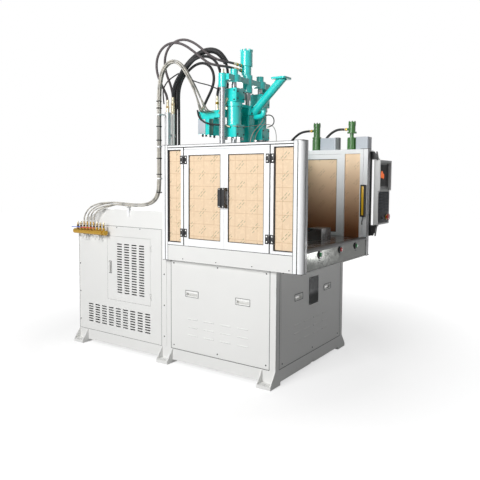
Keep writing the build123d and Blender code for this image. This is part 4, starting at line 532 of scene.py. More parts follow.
NODE_FINISH = {
    "body_paint": ["base_frame", "sheet_panels", "cabinet_shell", "cabinet_door"],
    "control_coat": ["control_box"],
    "guard_paint": ["guard_frame", "left_front_door", "left_rear_door", "right_front_door", "right_rear_door",
                    "side_shelf", "hose_risers"],
    "panel_grey": ["panel_housing"],
    "white_plastic": ["panel_pulls"],
    "casting_paint": ["upper_platen", "injection_body", "barrel", "hopper_chute", "terminal_boxes",
                      "crosshead", "screw_motor", "pull_plate", "clamp_cylinder"],
    "auxiliary_paint": ["auxiliary_units"],
    "unit_box_coat": ["auxiliary_boxes"],
    "tank_paint": ["power_unit"],
    "black_coat": ["hinge_leaves", "front_sill", "panel_post"],
    "zinc": ["cabinet_latch"],
    "black_plastic": ["light_curtains"],
    "deck_steel": ["deck"],
    "ground_steel": ["riser_block", "screw", "work_table"],
    "hard_chrome": ["tie_bars", "columns", "piston_rods"],
    "brass": ["water_manifold"],
    "pale_brass": ["riser_fittings", "unit_fittings"],
    "pane_film": ["fixed_panes", "left_front_door_pane", "left_rear_door_pane", "right_front_door_pane",
                  "right_rear_door_pane"],
    "red_plastic": ["stop_button", "panel_stop"],
    "green_plastic": ["start_button_left", "start_button_right"],
    "lever_coat": ["valve_levers"],
}


def give_finish(mesh, name):
    """Gives a mesh one finish in place of what it has."""
    mesh.materials.clear()
    mesh.materials.append(finish[name])


def dress_nodes():
    """Gives each solid its finish, and a second one to its handles, brackets, hollows or inner faces; on the
    inner faces of the panes, the cabinet and the sheet panels the second one is painted shade.
    """
    for name, nodes in NODE_FINISH.items():
        for node in nodes:
            give_finish(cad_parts[node].data, name)
    for door, body, side, hinge, *lines in DOORS:
        tint_faces(door, "black_coat", lambda c, n: (
            side * c.x > 0.6858 or abs(c.y - hinge) < 0.034 and abs(abs(c.z - 1.477) - 0.308) < 0.045))
    # The panes' inner faces get the inner film, whose colour is painted shade low down and painted light
    # towards the top rail.
    for node in NODE_FINISH["pane_film"]:
        tint_faces(node, "inner_film_painted_shade", lambda c, n: n.x * c.x < -0.3)
    tint_faces("water_manifold", "body_paint", lambda c, n: c.z < 1.0862)
    tint_faces("hose_risers", "zinc", lambda c, n: c.x > -0.476 and abs(c.y - 0.06) < 0.03)
    tint_faces("panel_pulls", "zinc", lambda c, n: (
        abs(n.x) > 0.5 and 0.5 < abs(c.x) < 0.633 or abs(n.y) > 0.5 and -1.139 < c.y < -1.0))
    # The inner faces of the cabinet shell, its door and the sheet panels get near-black painted shade, so the
    # slots and gaps into it look dark.
    tint_faces("cabinet_shell", "painted_shade_inside", lambda c, n: (c - Vector((0, 0.586, 0.7))).dot(n) < 0)
    tint_faces("cabinet_door", "painted_shade_inside", lambda c, n: n.x > 0.5)
    tint_faces("sheet_panels", "painted_shade_inside", lambda c, n: (c - Vector((0, -0.58, 0.5))).dot(n) < 0)


def tint_faces(node, name, test):
    """Gives a second finish to the faces whose middle and normal pass the test."""
    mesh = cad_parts[node].data
    mesh.materials.append(finish[name])
    for face in mesh.polygons:
        if test(face.center, face.normal):
            face.material_index = len(mesh.materials) - 1


# Modelling helpers

def deselect():
    if bpy.context.mode != "OBJECT":
        bpy.ops.object.mode_set(mode="OBJECT")
    bpy.ops.object.select_all(action="DESELECT")


def pick(*pieces):
    deselect()
    for piece in pieces:
        piece.select_set(True)
    bpy.context.view_layer.objects.active = pieces[0]


def apply_place(piece):
    pick(piece)
    bpy.ops.object.transform_apply(location=True, rotation=True, scale=True)


def edit_faces(piece, test):
    """Opens the piece for editing with the faces selected whose middle and normal pass the test."""
    pick(piece)
    bpy.ops.object.mode_set(mode="EDIT")
    bpy.ops.mesh.select_mode(type="FACE")
    bpy.ops.mesh.select_all(action="DESELECT")
    bpy.ops.object.mode_set(mode="OBJECT")
    for face in piece.data.polygons:
        face.select = test(face.center, face.normal)
    bpy.ops.object.mode_set(mode="EDIT")


def done_editing():
    bpy.ops.object.mode_set(mode="OBJECT")


def soften(piece, width, segments=2, angle=35):
    """Rounds the edges and shades the result smooth."""
    if width:
        edge = piece.modifiers.new("Rounded edges", "BEVEL")
        edge.width = width
        edge.segments = segments
        edge.limit_method = "ANGLE"
        edge.angle_limit = math.radians(angle)
        pick(piece)
        bpy.ops.object.modifier_apply(modifier=edge.name)
    pick(piece)
    bpy.ops.object.shade_smooth_by_angle(angle=math.radians(angle))
    return piece


def sharp_block(name, corner, opposite):
    """Block between two opposite corners, for the next steps to shape."""
    low, high = (Vector(ends) for ends in zip(*map(sorted, zip(corner, opposite))))
    deselect()
    bpy.ops.mesh.primitive_cube_add(size=1, location=(low + high) / 2)
    piece = bpy.context.object
    piece.name = name
    piece.scale = high - low
    apply_place(piece)
    return piece


def block(name, corner, opposite, edge=0.001, segments=2):
    """Rounded block between two opposite corners."""
    return soften(sharp_block(name, corner, opposite), edge, segments)


def window(name, corner, opposite, width, axis, edge=0.0008):
    """Rectangular ring between two opposite corners: a block with an opening along one axis."""
    piece = sharp_block(name, corner, opposite)
    edit_faces(piece, lambda middle, normal: abs(normal[axis]) > 0.9)
    bpy.ops.mesh.inset(thickness=width, use_individual=True)
    bpy.ops.mesh.bridge_edge_loops()
    done_editing()
    return soften(piece, edge, 1)


def turned(name, rings, sides=20):
    """Turned piece along +Z from the origin, through rings of radius and height."""
    deselect()
    radius, height = rings[0]
    bpy.ops.mesh.primitive_circle_add(vertices=sides, radius=radius, fill_type="NGON",
                                      location=(0, 0, height))
    piece = bpy.context.object
    piece.name = name
    apply_place(piece)
    bpy.ops.object.mode_set(mode="EDIT")
    bpy.ops.mesh.select_all(action="SELECT")
    for (old, below), (new, above) in zip(rings, rings[1:]):
        bpy.ops.mesh.extrude_region_move(TRANSFORM_OT_translate={"value": (0, 0, above - below)})
        bpy.ops.transform.resize(value=(new / old, new / old, 1), center_override=(0, 0, above))
    bpy.ops.mesh.select_all(action="SELECT")
    bpy.ops.mesh.normals_make_consistent(inside=False)
    done_editing()
    return soften(piece, 0)


def facing(point, direction):
    """The matrix that takes a piece made along +Z to a point, along a direction."""
    turn = Vector(direction).to_track_quat("Z", "Y")
    return Matrix.Translation(point) @ turn.to_matrix().to_4x4()


def stand(piece, point, direction=UP):
    """Puts a piece made along +Z at a point, along a direction."""
    piece.matrix_world = facing(point, direction)
    apply_place(piece)
    return piece


def finished(piece, body, material):
    """Gives the piece its finish and the body that it rides on."""
    give_finish(piece.data, material)
    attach(piece, body)


def merged(name, pieces):
    """One piece from one or more."""
    pick(*pieces)
    if len(pieces) > 1:
        bpy.ops.object.join()
    piece = bpy.context.view_layer.objects.active
    piece.name = name
    apply_place(piece)
    return piece


def fit(name, pieces, body, material):
    """Joins the pieces into one finished piece."""
    finished(merged(name, pieces), body, material)


def about(middle, apart):
    """The two lines at one distance on either side of a middle."""
    return middle - apart, middle + apart


def rows(points, direction=UP, size=1.0):
    """Places for copies, all along one direction and of one size."""
    return [(point, direction, size) for point in points]


def grid(xs, ys, zs, direction=UP, size=1.0):
    """Places for copies wherever the lines cross."""
    return rows([(x, y, z) for x in xs for y in ys for z in zs], direction, size)


def circle(middle, radius, count, start=0):
    """Points round a flat circle, the first of them at a start angle in degrees."""
    x, y, z = middle
    turns = [math.radians(start + 360 / count * index) for index in range(count)]
    return [(x + math.cos(turn) * radius, y + math.sin(turn) * radius, z) for turn in turns]


def fit_copies(name, master, places, body, material):
    """Copies of a piece made along +Z, each at a point, along a direction and at a size, as one piece."""
    made = []
    for point, direction, size in places:
        copy = bpy.data.objects.new(name + "_copy", master.data.copy())
        bpy.context.scene.collection.objects.link(copy)
        copy.matrix_world = facing(point, direction) @ Matrix.Scale(size, 4)
        made.append(copy)
    bpy.data.objects.remove(master)
    fit(name, made, body, material)


def socket_screw():
    """Cap screw with a round socket, its head one across."""
    return turned("bolt", [(0.5, -0.02), (0.5, 0.42), (0.42, 0.5), (0.26, 0.5), (0.26, 0.2)], 12)


def pan_screw():
    """Low domed screw with a small recess, its head one across."""
    return turned("screw", [(0.5, -0.02), (0.46, 0.16), (0.3, 0.26), (0.12, 0.28), (0.1, 0.14)], 10)


def hexagon(name, across, height):
    """Six-sided nut or union with chamfered corners, along +Z from the origin."""
    r = across / math.sqrt(3)
    return turned(name, [(r * 0.9, 0), (r, height * 0.12), (r, height * 0.88), (r * 0.9, height)], 6)


# Hoses and tubes

def route_curve(name, points):
    """Open smooth curve through a route's control points."""
    data = bpy.data.curves.new(name, "CURVE")
    data.dimensions = "3D"
    data.resolution_u = 8
    spline = data.splines.new("NURBS")
    spline.points.add(len(points) - 1)
    for point, place in zip(spline.points, points):
        point.co = (*place, 1.0)
    spline.order_u = 3
    spline.use_endpoint_u = True
    curve = bpy.data.objects.new(name, data)
    bpy.context.scene.collection.objects.link(curve)
    return curve


def centre_line(curve):
    """Points along a curve that has no bevel."""
    mesh = bpy.data.meshes.new_from_object(curve)
    line = [vertex.co.copy() for vertex in mesh.vertices]
    bpy.data.meshes.remove(mesh)
    return line


def tube_piece(name, points, diameter, sides=3):
    """Mesh tube round a route, with the centre line that it follows."""
    curve = route_curve(name, points)
    line = centre_line(curve)
    curve.data.bevel_depth = diameter / 2
    curve.data.bevel_resolution = sides
    curve.data.use_fill_caps = True
    pick(curve)
    bpy.ops.object.convert(target="MESH")
    bpy.ops.object.shade_smooth_by_angle(angle=math.radians(50))
    return bpy.context.view_layer.objects.active, line


def lay_cord(name, points, diameter, material, bodies, replaced=None):
    """A hose or tube that rides on one body, or that spans two bodies and stays in the world with no parent.
    """
    piece, line = tube_piece(name, points, diameter)
    give_finish(piece.data, material)
    if len(bodies) == 2:
        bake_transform(piece)
    else:
        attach(piece, bodies[0])
    if replaced:
        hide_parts(replaced)


def split_route(points, index):
    """Two routes that meet halfway along the run after the given point."""
    middle = tuple((p + q) / 2 for p, q in zip(points[index], points[index + 1]))
    return points[:index + 1] + [middle], [middle] + points[index + 1:]


def ferrule(point, direction, radius, length=0.05):
    """Crimped sleeve with its nut, from the fitting's face along the hose."""
    shares = ((1.1, 0.0), (1.1, 0.28), (1.02, 0.3), (1.02, 0.36), (1.12, 0.4), (1.12, 0.94), (1.0, 1.0))
    rings = [(radius * 0.86, -0.004)] + [(radius * wide, length * far) for wide, far in shares]
    return stand(turned("ferrule", rings, 18), point, direction)


def end_ferrule(points, radius, last=False):
    """Ferrule on the first or the last point of a route, along the route."""
    a, b = (points[-1], points[-2]) if last else points[:2]
    return ferrule(a, Vector(b) - Vector(a), radius)


def union(across, height, point, direction=UP):
    """Six-sided union nut at a point, along a direction."""
    return stand(hexagon("union", across, height), point, direction)


class MACHINE_OT_hoses(bpy.types.Operator):
    """Lays the pressure hoses and the water tubes"""
    bl_idname = "machine.hoses"
    bl_label = "Hoses and tubes"

    def execute(self, context):
        # The fourth argument of each hose skin below is the colour of painted shade in the grooves between
        # the rings.
        reach = (FIXED, CLAMP)
        for name, points in (("hose_1", hose_1_route), ("hose_2", hose_2_route), ("hose_3", hose_3_route)):
            hose_material(name + "_rubber", paint_code(34, 34, 37), 190.0, (0.004, 0.004, 0.005))
            lay_cord(name + "_sleeve", points, HOSE, name + "_rubber", reach, name)
        hose_material("bundle_cover", paint_code(24, 24, 26), 60.0, (0.003, 0.003, 0.003), depth=0.9)
        cover = [(-0.39, 0.07, 2.26)] + hose_2_route[2:11]
        lay_cord("bundle_cover", cover, 0.052, "bundle_cover", reach)
        for name, points, cut in (("loop_a", loop_a_route, 10), ("loop_b", loop_b_route, 11)):
            hose_material(name + "_rubber", paint_code(104, 96, 98), 150.0, (0.02, 0.018, 0.02))
            first, second = split_route(points, cut)
            lay_cord(name + "_rise", first, LOOP, name + "_rubber", reach, name)
            lay_cord(name + "_reach", second, LOOP, name + "_rubber", (CLAMP, HEAD))
        hose_material("tube_skin", paint_code(188, 184, 174), 20.0, (0.34, 0.33, 0.3), 0.25, 0.05)
        tubes = (water_tube_1_route, water_tube_2_route, water_tube_3_route, water_tube_4_route)
        for index, points in enumerate(tubes):
            name = "water_tube_" + str(index + 1)
            lay_cord(name + "_skin", points, 0.014, "tube_skin", reach, name)
        return {"FINISHED"}


# Panels, guard and doors

class MACHINE_OT_panel_screws(bpy.types.Operator):
    """Sets the screws of the base, cabinet and skirt panels, their seams and the rims of their pulls"""
    bl_idname = "machine.panel_screws"
    bl_label = "Panel screws"

    def execute(self, context):
        size = context.scene.machine_sizes.screw
        small = size * 0.8
        places = grid((-0.53, 0, 0.53), (BASE_FRONT,), (0.165, 0.893), FRONT, size)
        places += grid((-0.58, -0.29, 0.0, 0.29, 0.58), (-0.023,), (0.95, 1.4, 1.86), BACK, small)
        places += grid((-0.55, -0.2, 0.2, 0.55), (REAR,), (0.2, 0.6, 1.0), BACK, size)
        for side in SIDES:
            out, face = (side, 0, 0), (side * BASE_SIDE,)
            places += grid(face, (-1.055, -0.582, -0.108), (0.165, 0.893), out, size)
            places += grid(face, (0.006, 1.122), (0.22, 0.5, 0.78, 1.06), out, size)
            places += grid(face, (0.3, 0.6, 0.9), (1.165,), out, small)
            places += grid((side * GUARD_SIDE,), (-1.28, -0.95, -0.6, -0.25), (0.945,), out, small)
        fit_copies("panel_screws", pan_screw(), places, FIXED, "dark_bolt")
        seams = [window("seam", (-0.58, -1.1437, 0.128), (0.58, -1.142, 0.918), 0.0045, 1, 0.0)]
        rims = [window("rim", (x - PULL, -1.1468, 0.6295), (x + PULL, -1.144, 0.6865), 0.0035, 1, 0.0005)
                for x in (-0.264, 0.287)]
        for side in SIDES:
            for y0, y1, top, width in ((-1.089, -0.073, 0.918, 0.0045), (0.036, 1.138, 1.178, 0.003)):
                seams.append(window("seam", (side * 0.634, y0, 0.128), (side * 0.6357, y1, top),
                                    width, 0, 0.0))
            for y in (-0.311, -0.834):
                rims.append(window("rim", (side * 0.636, y - PULL, 0.6115), (side * 0.6388, y + PULL, 0.6685),
                                   0.0035, 0, 0.0005))
        fit("panel_seams", seams, FIXED, "dark_plate")
        fit("pull_rims", rims, FIXED, "dark_plate")
        return {"FINISHED"}


class MACHINE_OT_guard_trim(bpy.types.Operator):
    """Fits the groove strips, post caps and edge seals of the guard"""
    bl_idname = "machine.guard_trim"
    bl_label = "Guard trim"

    def execute(self, context):
        strips, caps, seals = [], [], []
        for side in SIDES:
            for x0, x1, y0, y1, z0, z1 in STRIPS:
                strips.append(block("strip", (side * x0, y0, z0), (side * x1, y1, z1), 0.0006, 1))
            for y0, y1, x0 in ((-1.387, -1.307, 0.605), (-0.083, -0.023, 0.625)):
                for z0, z1 in ((0.9205, 0.925), (1.912, 1.9165)):
                    caps.append(block("cap", (side * x0, y0, z0), (side * GUARD_SIDE, y1, z1), 0.0015))
            for y0, y1 in ((-1.3067, -1.1383), (-0.2287, -0.0833)):
                seals.append(window("seal", (side * 0.6652, y0, 1.0823), (side * 0.6745, y1, 1.8717),
                                    0.007, 0))
        fit("groove_strips", strips, FIXED, "seal_rubber")
        fit("post_caps", caps, FIXED, "black_plastic")
        fit("fixed_pane_seals", seals, FIXED, "seal_rubber")
        return {"FINISHED"}


class MACHINE_OT_door_trim(bpy.types.Operator):
    """Fits the seals, hinge leaves, hinge screws and handle screws of the four guard doors"""
    bl_idname = "machine.door_trim"
    bl_label = "Door trim"

    def execute(self, context):
        seal = context.scene.machine_sizes.seal
        post_leaves, post_places = [], []
        for door, body, side, hinge, way, y0, y1, grip in DOORS:
            out = (side, 0, 0)
            for name, x0, x1, width in (("_seal", 0.6853, 0.6749, seal),
                                        ("_inner_seal", 0.6686, 0.6551, seal * 0.6)):
                ring = window(door + name, (side * x0, y0, PANE_LOW), (side * x1, y1, PANE_TOP), width, 0)
                finished(ring, body, "seal_rubber")
            leaves, places = [], grid((side * 0.7288,), (grip,), (1.406, 1.546), out, 0.009)
            for hand, plates, holes in ((way, leaves, places), (-way, post_leaves, post_places)):
                for z in HINGE_HEIGHTS:
                    plates.append(block("leaf", (side * 0.6852, hinge + hand * 0.007, z - 0.036),
                                        (side * 0.6886, hinge + hand * 0.037, z + 0.036)))
                    holes += grid((side * 0.6888,), (hinge + hand * 0.024,), about(z, 0.021), out, 0.013)
            fit(door + "_hinge_leaves", leaves, body, "black_coat")
            fit_copies(door + "_screws", pan_screw(), places, body, "zinc")
        fit_copies("hinge_screws", pan_screw(), post_places, FIXED, "zinc")
        fit("post_hinge_leaves", post_leaves, FIXED, "black_coat")
        return {"FINISHED"}


class MACHINE_OT_front_plate(bpy.types.Operator):
    """Rivets the bare dark plate on the front panel"""
    bl_idname = "machine.front_plate"
    bl_label = "Front plate"

    def execute(self, context):
        plate = block("front_plate", (-0.076, -1.1462, 0.55), (0.101, -1.1428, 0.789), 0.0012)
        edit_faces(plate, lambda middle, normal: normal.y < -0.9 and abs(middle.x - 0.0125) < 0.02)
        bpy.ops.mesh.inset(thickness=0.006)
        bpy.ops.transform.translate(value=(0, 0.0012, 0))
        done_editing()
        finished(plate, FIXED, "dark_plate")
        places = grid((-0.068, 0.093), (-1.146,), (0.558, 0.781), FRONT, 0.008)
        fit_copies("plate_rivets", pan_screw(), places, FIXED, "zinc")
        return {"FINISHED"}


class MACHINE_OT_controls(bpy.types.Operator):
    """Dresses the sill's buttons and the light curtains"""
    bl_idname = "machine.controls"
    bl_label = "Sill controls"

    def execute(self, context):
        collar = [(0.033, 0), (0.033, 0.005), (0.0305, 0.0075), (0.0215, 0.0075), (0.0215, 0.002)]
        dish = [(0.0145, 0.0), (0.0145, 0.0016), (0.0125, 0.0024), (0.006, 0.0012)]
        labels = [block("label", (x - 0.017, -1.3812, 0.993), (x + 0.017, -1.3797, 1.001), 0.0004, 1)
                  for button, x, material in BUTTONS]
        fit("button_labels", labels, FIXED, "dark_plate")
        lenses = [block("lens", (side * 0.5699, -1.3612, 1.2992), (side * 0.5735, -1.3408, 1.5668), 0.0008)
                  for side in SIDES]
        fit("curtain_lenses", lenses, FIXED, "yellow_plastic")
        for button, x, material in BUTTONS:
            ring = stand(turned(button + "_collar", collar, 28), (x, -1.3805, BUTTON_Z), FRONT)
            finished(ring, FIXED, "black_plastic")
            cap = stand(turned(button + "_dish", dish, 24), (x, -1.3968, BUTTON_Z), FRONT)
            finished(cap, button, material)
        return {"FINISHED"}


class MACHINE_OT_operator_panel(bpy.types.Operator):
    """Fits the display, lamp, keys and switch of the swinging operator panel, and its post's gussets"""
    bl_idname = "machine.operator_panel"
    bl_label = "Operator panel"

    def execute(self, context):
        body = "operator_panel"
        bezel = window("display_bezel", (0.738, -1.4392, 1.552), (1.006, -1.4348, 1.784), 0.014, 1, 0.0015)
        finished(bezel, body, "black_plastic")
        glass = block("display_glass", (0.7505, -1.4372, 1.5645), (0.9935, -1.4348, 1.7715), 0.0008)
        finished(glass, body, "display")
        glow = []
        for x, z, size in ((0.79, 1.668, 0.03), (0.835, 1.678, 0.034), (0.872, 1.662, 0.026)):
            lens = turned("lit_picture", [(size, 0), (size * 0.94, 0.0012), (size * 0.6, 0.0018)], 24)
            glow.append(stand(lens, (x, -1.437, z), FRONT))
        fit("lit_picture", glow, body, "amber_lamp")
        plate = block("keypad_plate", (0.7262, KEY_FACE, 1.2182), (1.0178, -1.4438, 1.5148))
        finished(plate, body, "keypad")
        keys = [block("key", (x, -1.4484, z), (x + 0.029, -1.4454, z + 0.019), 0.0012)
                for x in (0.7455 + column * 0.0385 for column in range(7))
                for z in (1.327 + row * 0.0275 for row in range(7))]
        fit("keypad_keys", keys, body, "key_plastic")
        collar = turned("stop_collar", [(0.027, 0), (0.027, 0.0022), (0.0255, 0.003), (0.012, 0.003)], 28)
        finished(stand(collar, (0.965, KEY_FACE, 1.268), FRONT), body, "yellow_plastic")
        knob = turned("key_switch", [(0.014, 0), (0.014, 0.004), (0.011, 0.006), (0.009, 0.016),
                                     (0.0075, 0.018)])
        finished(stand(knob, (0.842, KEY_FACE, 1.262), FRONT), body, "black_plastic")
        places = grid((0.733, 1.011), (KEY_FACE,), (1.2255, 1.508), FRONT, 0.007)
        places += grid((0.74, 1.0), (-1.401,), (1.24, 1.5, 1.77), BACK, 0.009)
        fit_copies("panel_case_screws", pan_screw(), places, body, "zinc")
        tip = turned("stop_cap", [(0.026, 0), (0.031, 0.003), (0.031, 0.009), (0.027, 0.0135),
                                  (0.018, 0.0155), (0.004, 0.016)], 28)
        finished(stand(tip, (0.965, -1.4592, 1.268), FRONT), "emergency_stop", "red_plastic")
        gussets = []
        for low, high, narrow in ((1.824, 1.889, 1.889), (1.102, 1.19, 1.102)):
            plate = block("gusset", (0.7, -1.446, low), (0.704, -1.36, high), 0.0008, 1)
            edit_faces(plate, lambda middle, normal: abs(middle.z - narrow) < 0.002)
            bpy.ops.transform.resize(value=(1, 0.62, 1), center_override=(0.702, -1.36, narrow))
            done_editing()
            gussets.append(plate)
        fit("post_gussets", gussets, FIXED, "black_coat")
        return {"FINISHED"}


class MACHINE_OT_manifold(bpy.types.Operator):
    """Dresses the brass manifold with valve bodies, caps, tube clamps and lever nuts"""
    bl_idname = "machine.manifold"
    bl_label = "Water manifold"

    def execute(self, context):
        valves = [1.087 - index * VALVE_PITCH for index in range(9)]
        tubes, levers = valves[2:6], valves[:6]
        base = [(0.0088, 0), (0.0098, 0.002), (0.0098, 0.01), (0.0075, 0.012)]
        cap = [(0.007, 0), (0.0074, 0.002), (0.0074, 0.018), (0.0055, 0.021), (0.002, 0.022)]
        clamp = [(0.0072, 0), (0.0084, 0.0006), (0.0084, 0.008), (0.0072, 0.0086)]
        capped = [y for y in valves if y not in tubes]
        for name, master, line, height, material in (
                ("valve_bodies", hexagon("valve", 0.023, 0.016), valves, 1.1325, "brass"),
                ("valve_bases", turned("base", base, 16), valves, 1.1602, "black_plastic"),
                ("valve_caps", turned("cap", cap, 16), capped, 1.186, "pale_brass"),
                ("lever_nuts", hexagon("lever_nut", 0.011, 0.004), levers, 1.1542, "zinc"),
                ("tube_clamps", turned("clamp", clamp, 18), tubes, 1.212, "zinc")):
            fit_copies(name, master, grid((MANIFOLD_X,), line, (height,)), FIXED, material)
        bolts = []
        for y in (0.812, 0.998):
            bolts += grid((MANIFOLD_X,), about(y, 0.022), (1.0462,), DOWN, 0.014)
            bolts += grid((-0.6395,), about(y, 0.02), (1.052,), (-1, 0, 0), 0.012)
        fit_copies("bracket_bolts", socket_screw(), bolts, FIXED, "zinc")
        return {"FINISHED"}


# Injection unit

class MACHINE_OT_unit_bolts(bpy.types.Operator):
    """Sets the cap screws in the castings of the injection unit"""
    bl_idname = "machine.unit_bolts"
    bl_label = "Injection unit bolts"

    def execute(self, context):
        size = context.scene.machine_sizes.bolt
        y = UNIT_Y
        casting, platen = [], []
        crosshead = rows(circle((0, -0.434, 2.654), 0.052, 6), DOWN, size * 0.6)
        for side in SIDES:
            x = side * CYLINDER_X
            for apart, z, way in ((0.05, 2.422, UP), (0.045, 1.995, DOWN)):
                casting += grid(about(x, apart), about(y, apart), (z,), way, size)
            casting += rows(circle((x, y, 2.265), 0.0695, 8, 22.5), DOWN, size * 0.5)
            for heights, apart in (((2.33, 2.39), 0.045), ((2.02, 2.082), 0.05)):
                casting += grid(about(x, apart), (y - 0.07,), heights, FRONT, size * 0.7)
            casting += grid((x + side * 0.07,), about(y, 0.05), (2.32, 2.4), (side, 0, 0), size * 0.7)
            platen += rows([(side * 0.345 + dx, -0.415 + dy, 1.9)
                            for dx, dy in ((-0.034, -0.02), (0.034, -0.02), (0, 0.036))], UP, size * 0.6)
            platen += grid(about(side * 0.34, 0.075), about(y, 0.225), (1.87,), UP, size)
            crosshead += rows(circle((x, y, 2.539), 0.046, 6, 30), UP, size * 0.6)
        casting += grid((-0.04, 0.04), (-0.522,), (2.222, 2.276), FRONT, size * 0.8)
        fit_copies("casting_bolts", socket_screw(), casting, CLAMP, "dark_bolt")
        fit_copies("platen_bolts", socket_screw(), platen, CLAMP, "dark_bolt")
        fit_copies("crosshead_bolts", socket_screw(), crosshead, HEAD, "casting_paint")
        return {"FINISHED"}


class MACHINE_OT_boxes(bpy.types.Operator):
    """Dresses the terminal boxes and the cabinet's latch"""
    bl_idname = "machine.boxes"
    bl_label = "Terminal boxes"

    def execute(self, context):
        for name, y0, y1, z0, paint in (("terminal_lid_grey", -0.173, -0.09, 2.036, "unit_box_coat"),
                                        ("terminal_lid_teal", -0.2155, -0.1775, 2.029, "casting_paint"),
                                        ("terminal_lid_dark", -0.2625, -0.2205, 2.021, "deep_green")):
            finished(block(name, (-0.2755, y0, z0), (-0.2715, y1, 2.168), 0.0012), CLAMP, paint)
        gland = [(0.008, -0.018), (0.009, -0.016), (0.009, -0.008), (0.011, -0.007), (0.011, 0.003)]
        places = rows([(-0.23, -0.11, 2.031), (-0.23, -0.15, 2.031), (-0.23, -0.197, 2.024),
                       (-0.23, -0.242, 2.016)])
        fit_copies("terminal_glands", turned("gland", gland, 12), places, CLAMP, "black_plastic")
        rim = window("latch_rim", (-0.6366, 0.673, 0.722), (-0.6346, 0.711, 0.84), 0.0045, 0, 0.0003)
        finished(rim, "cabinet_flap", "dark_plate")
        return {"FINISHED"}


# Auxiliary units: where each stands, its top and its hose's route
AUXILIARY_X = 0.815
AUXILIARY_UNITS = {
    "auxiliary_hose_1": (-0.758, 2.05, [
        (0.815, -0.682, 2.118), (0.815, -0.63, 2.118), (0.812, -0.56, 2.1), (0.8, -0.5, 2.05),
        (0.79, -0.45, 1.99), (0.785, -0.42, 1.94), (0.785, -0.41, 1.889)]),
    "auxiliary_hose_2": (-1.134, 2.09, [
        (0.815, -1.058, 2.118), (0.815, -1.01, 2.122), (0.815, -0.96, 2.112), (0.815, -0.9, 2.078),
        (0.815, -0.865, 2.04)]),
}


class MACHINE_OT_auxiliary(bpy.types.Operator):
    """Dresses the two auxiliary units and lays their hoses"""
    bl_idname = "machine.auxiliary"
    bl_label = "Auxiliary units"

    def execute(self, context):
        x = AUXILIARY_X
        units = AUXILIARY_UNITS.values()
        bolts = []
        for y, top, hose in units:
            bolts += rows(circle((x, y, 1.9), 0.047, 8, 22.5), UP, 0.009)
            bolts += rows(circle((x, y, top), 0.04, 6), UP, 0.008)
        fit_copies("auxiliary_bolts", socket_screw(), bolts, FIXED, "auxiliary_paint")
        unions = [union(0.025, 0.018, (x, y + 0.05, 2.118), BACK) for y, top, hose in units]
        fit("auxiliary_unions", unions, FIXED, "brass")
        post = block("auxiliary_post", (0.835, -0.99, 1.886), (0.885, -0.94, 2.045), 0.003)
        finished(post, FIXED, "tank_paint")
        # Its fourth argument is the colour of painted shade in the grooves between the rings.
        hose_material("auxiliary_rubber", paint_code(38, 38, 40), 60.0, (0.01, 0.01, 0.01), 0.4, 0.3)
        for name, (y, top, hose) in AUXILIARY_UNITS.items():
            lay_cord(name, hose, HOSE, "auxiliary_rubber", (FIXED,))
        ends = [ferrule(hose[0], BACK, 0.01, 0.04) for y, top, hose in units]
        fit("auxiliary_ferrules", ends, FIXED, "pale_brass")
        return {"FINISHED"}


# Hose ends, ties and thin lines

class MACHINE_OT_hose_ends(bpy.types.Operator):
    """Crimps the hose ends and ties the tube bundle"""
    bl_idname = "machine.hose_ends"
    bl_label = "Hose ends and ties"

    def execute(self, context):
        hoses, loops = (hose_1_route, hose_2_route, hose_3_route), (loop_a_route, loop_b_route)
        risers = [end_ferrule(points, HOSE / 2) for points in hoses]
        risers += [end_ferrule(points, LOOP / 2) for points in loops]
        fit("riser_ferrules", risers, FIXED, "pale_brass")
        fit("unit_ferrules", [end_ferrule(points, HOSE / 2, True) for points in hoses], CLAMP, "pale_brass")
        fit("motor_ferrules", [end_ferrule(points, LOOP / 2, True) for points in loops], HEAD, "pale_brass")
        unions = [union(across, 0.022, Vector(points[0]) + Vector((0, 0, -0.026)))
                  for points, across in ((hose_1_route, 0.031), (loop_a_route, 0.027))]
        fit("riser_unions", unions, FIXED, "brass")
        unions = [union(0.031, 0.022, Vector(points[-1]) + Vector((0, 0, -0.027))) for points in hoses[:2]]
        fit("unit_unions", unions, CLAMP, "brass")
        unions = [union(across, height, (x, -0.422, z), (1, 0, 0)) for z in (2.61, 2.653)
                  for x, across, height in ((-0.143, 0.027, 0.02), (-0.0845, 0.03, 0.012))]
        fit("motor_unions", unions, HEAD, "brass")
        high = context.scene.machine_sizes.tie
        ties = [window("tie", (-0.6375, 0.0555, z), (-0.6025, 0.0905, z + high), 0.0016, 2, 0.0006)
                for z in (1.5, 1.66, 1.8, 1.96, 2.08, 2.24, 2.3)]
        fit("tube_ties", ties, FIXED, "black_plastic")
        return {"FINISHED"}


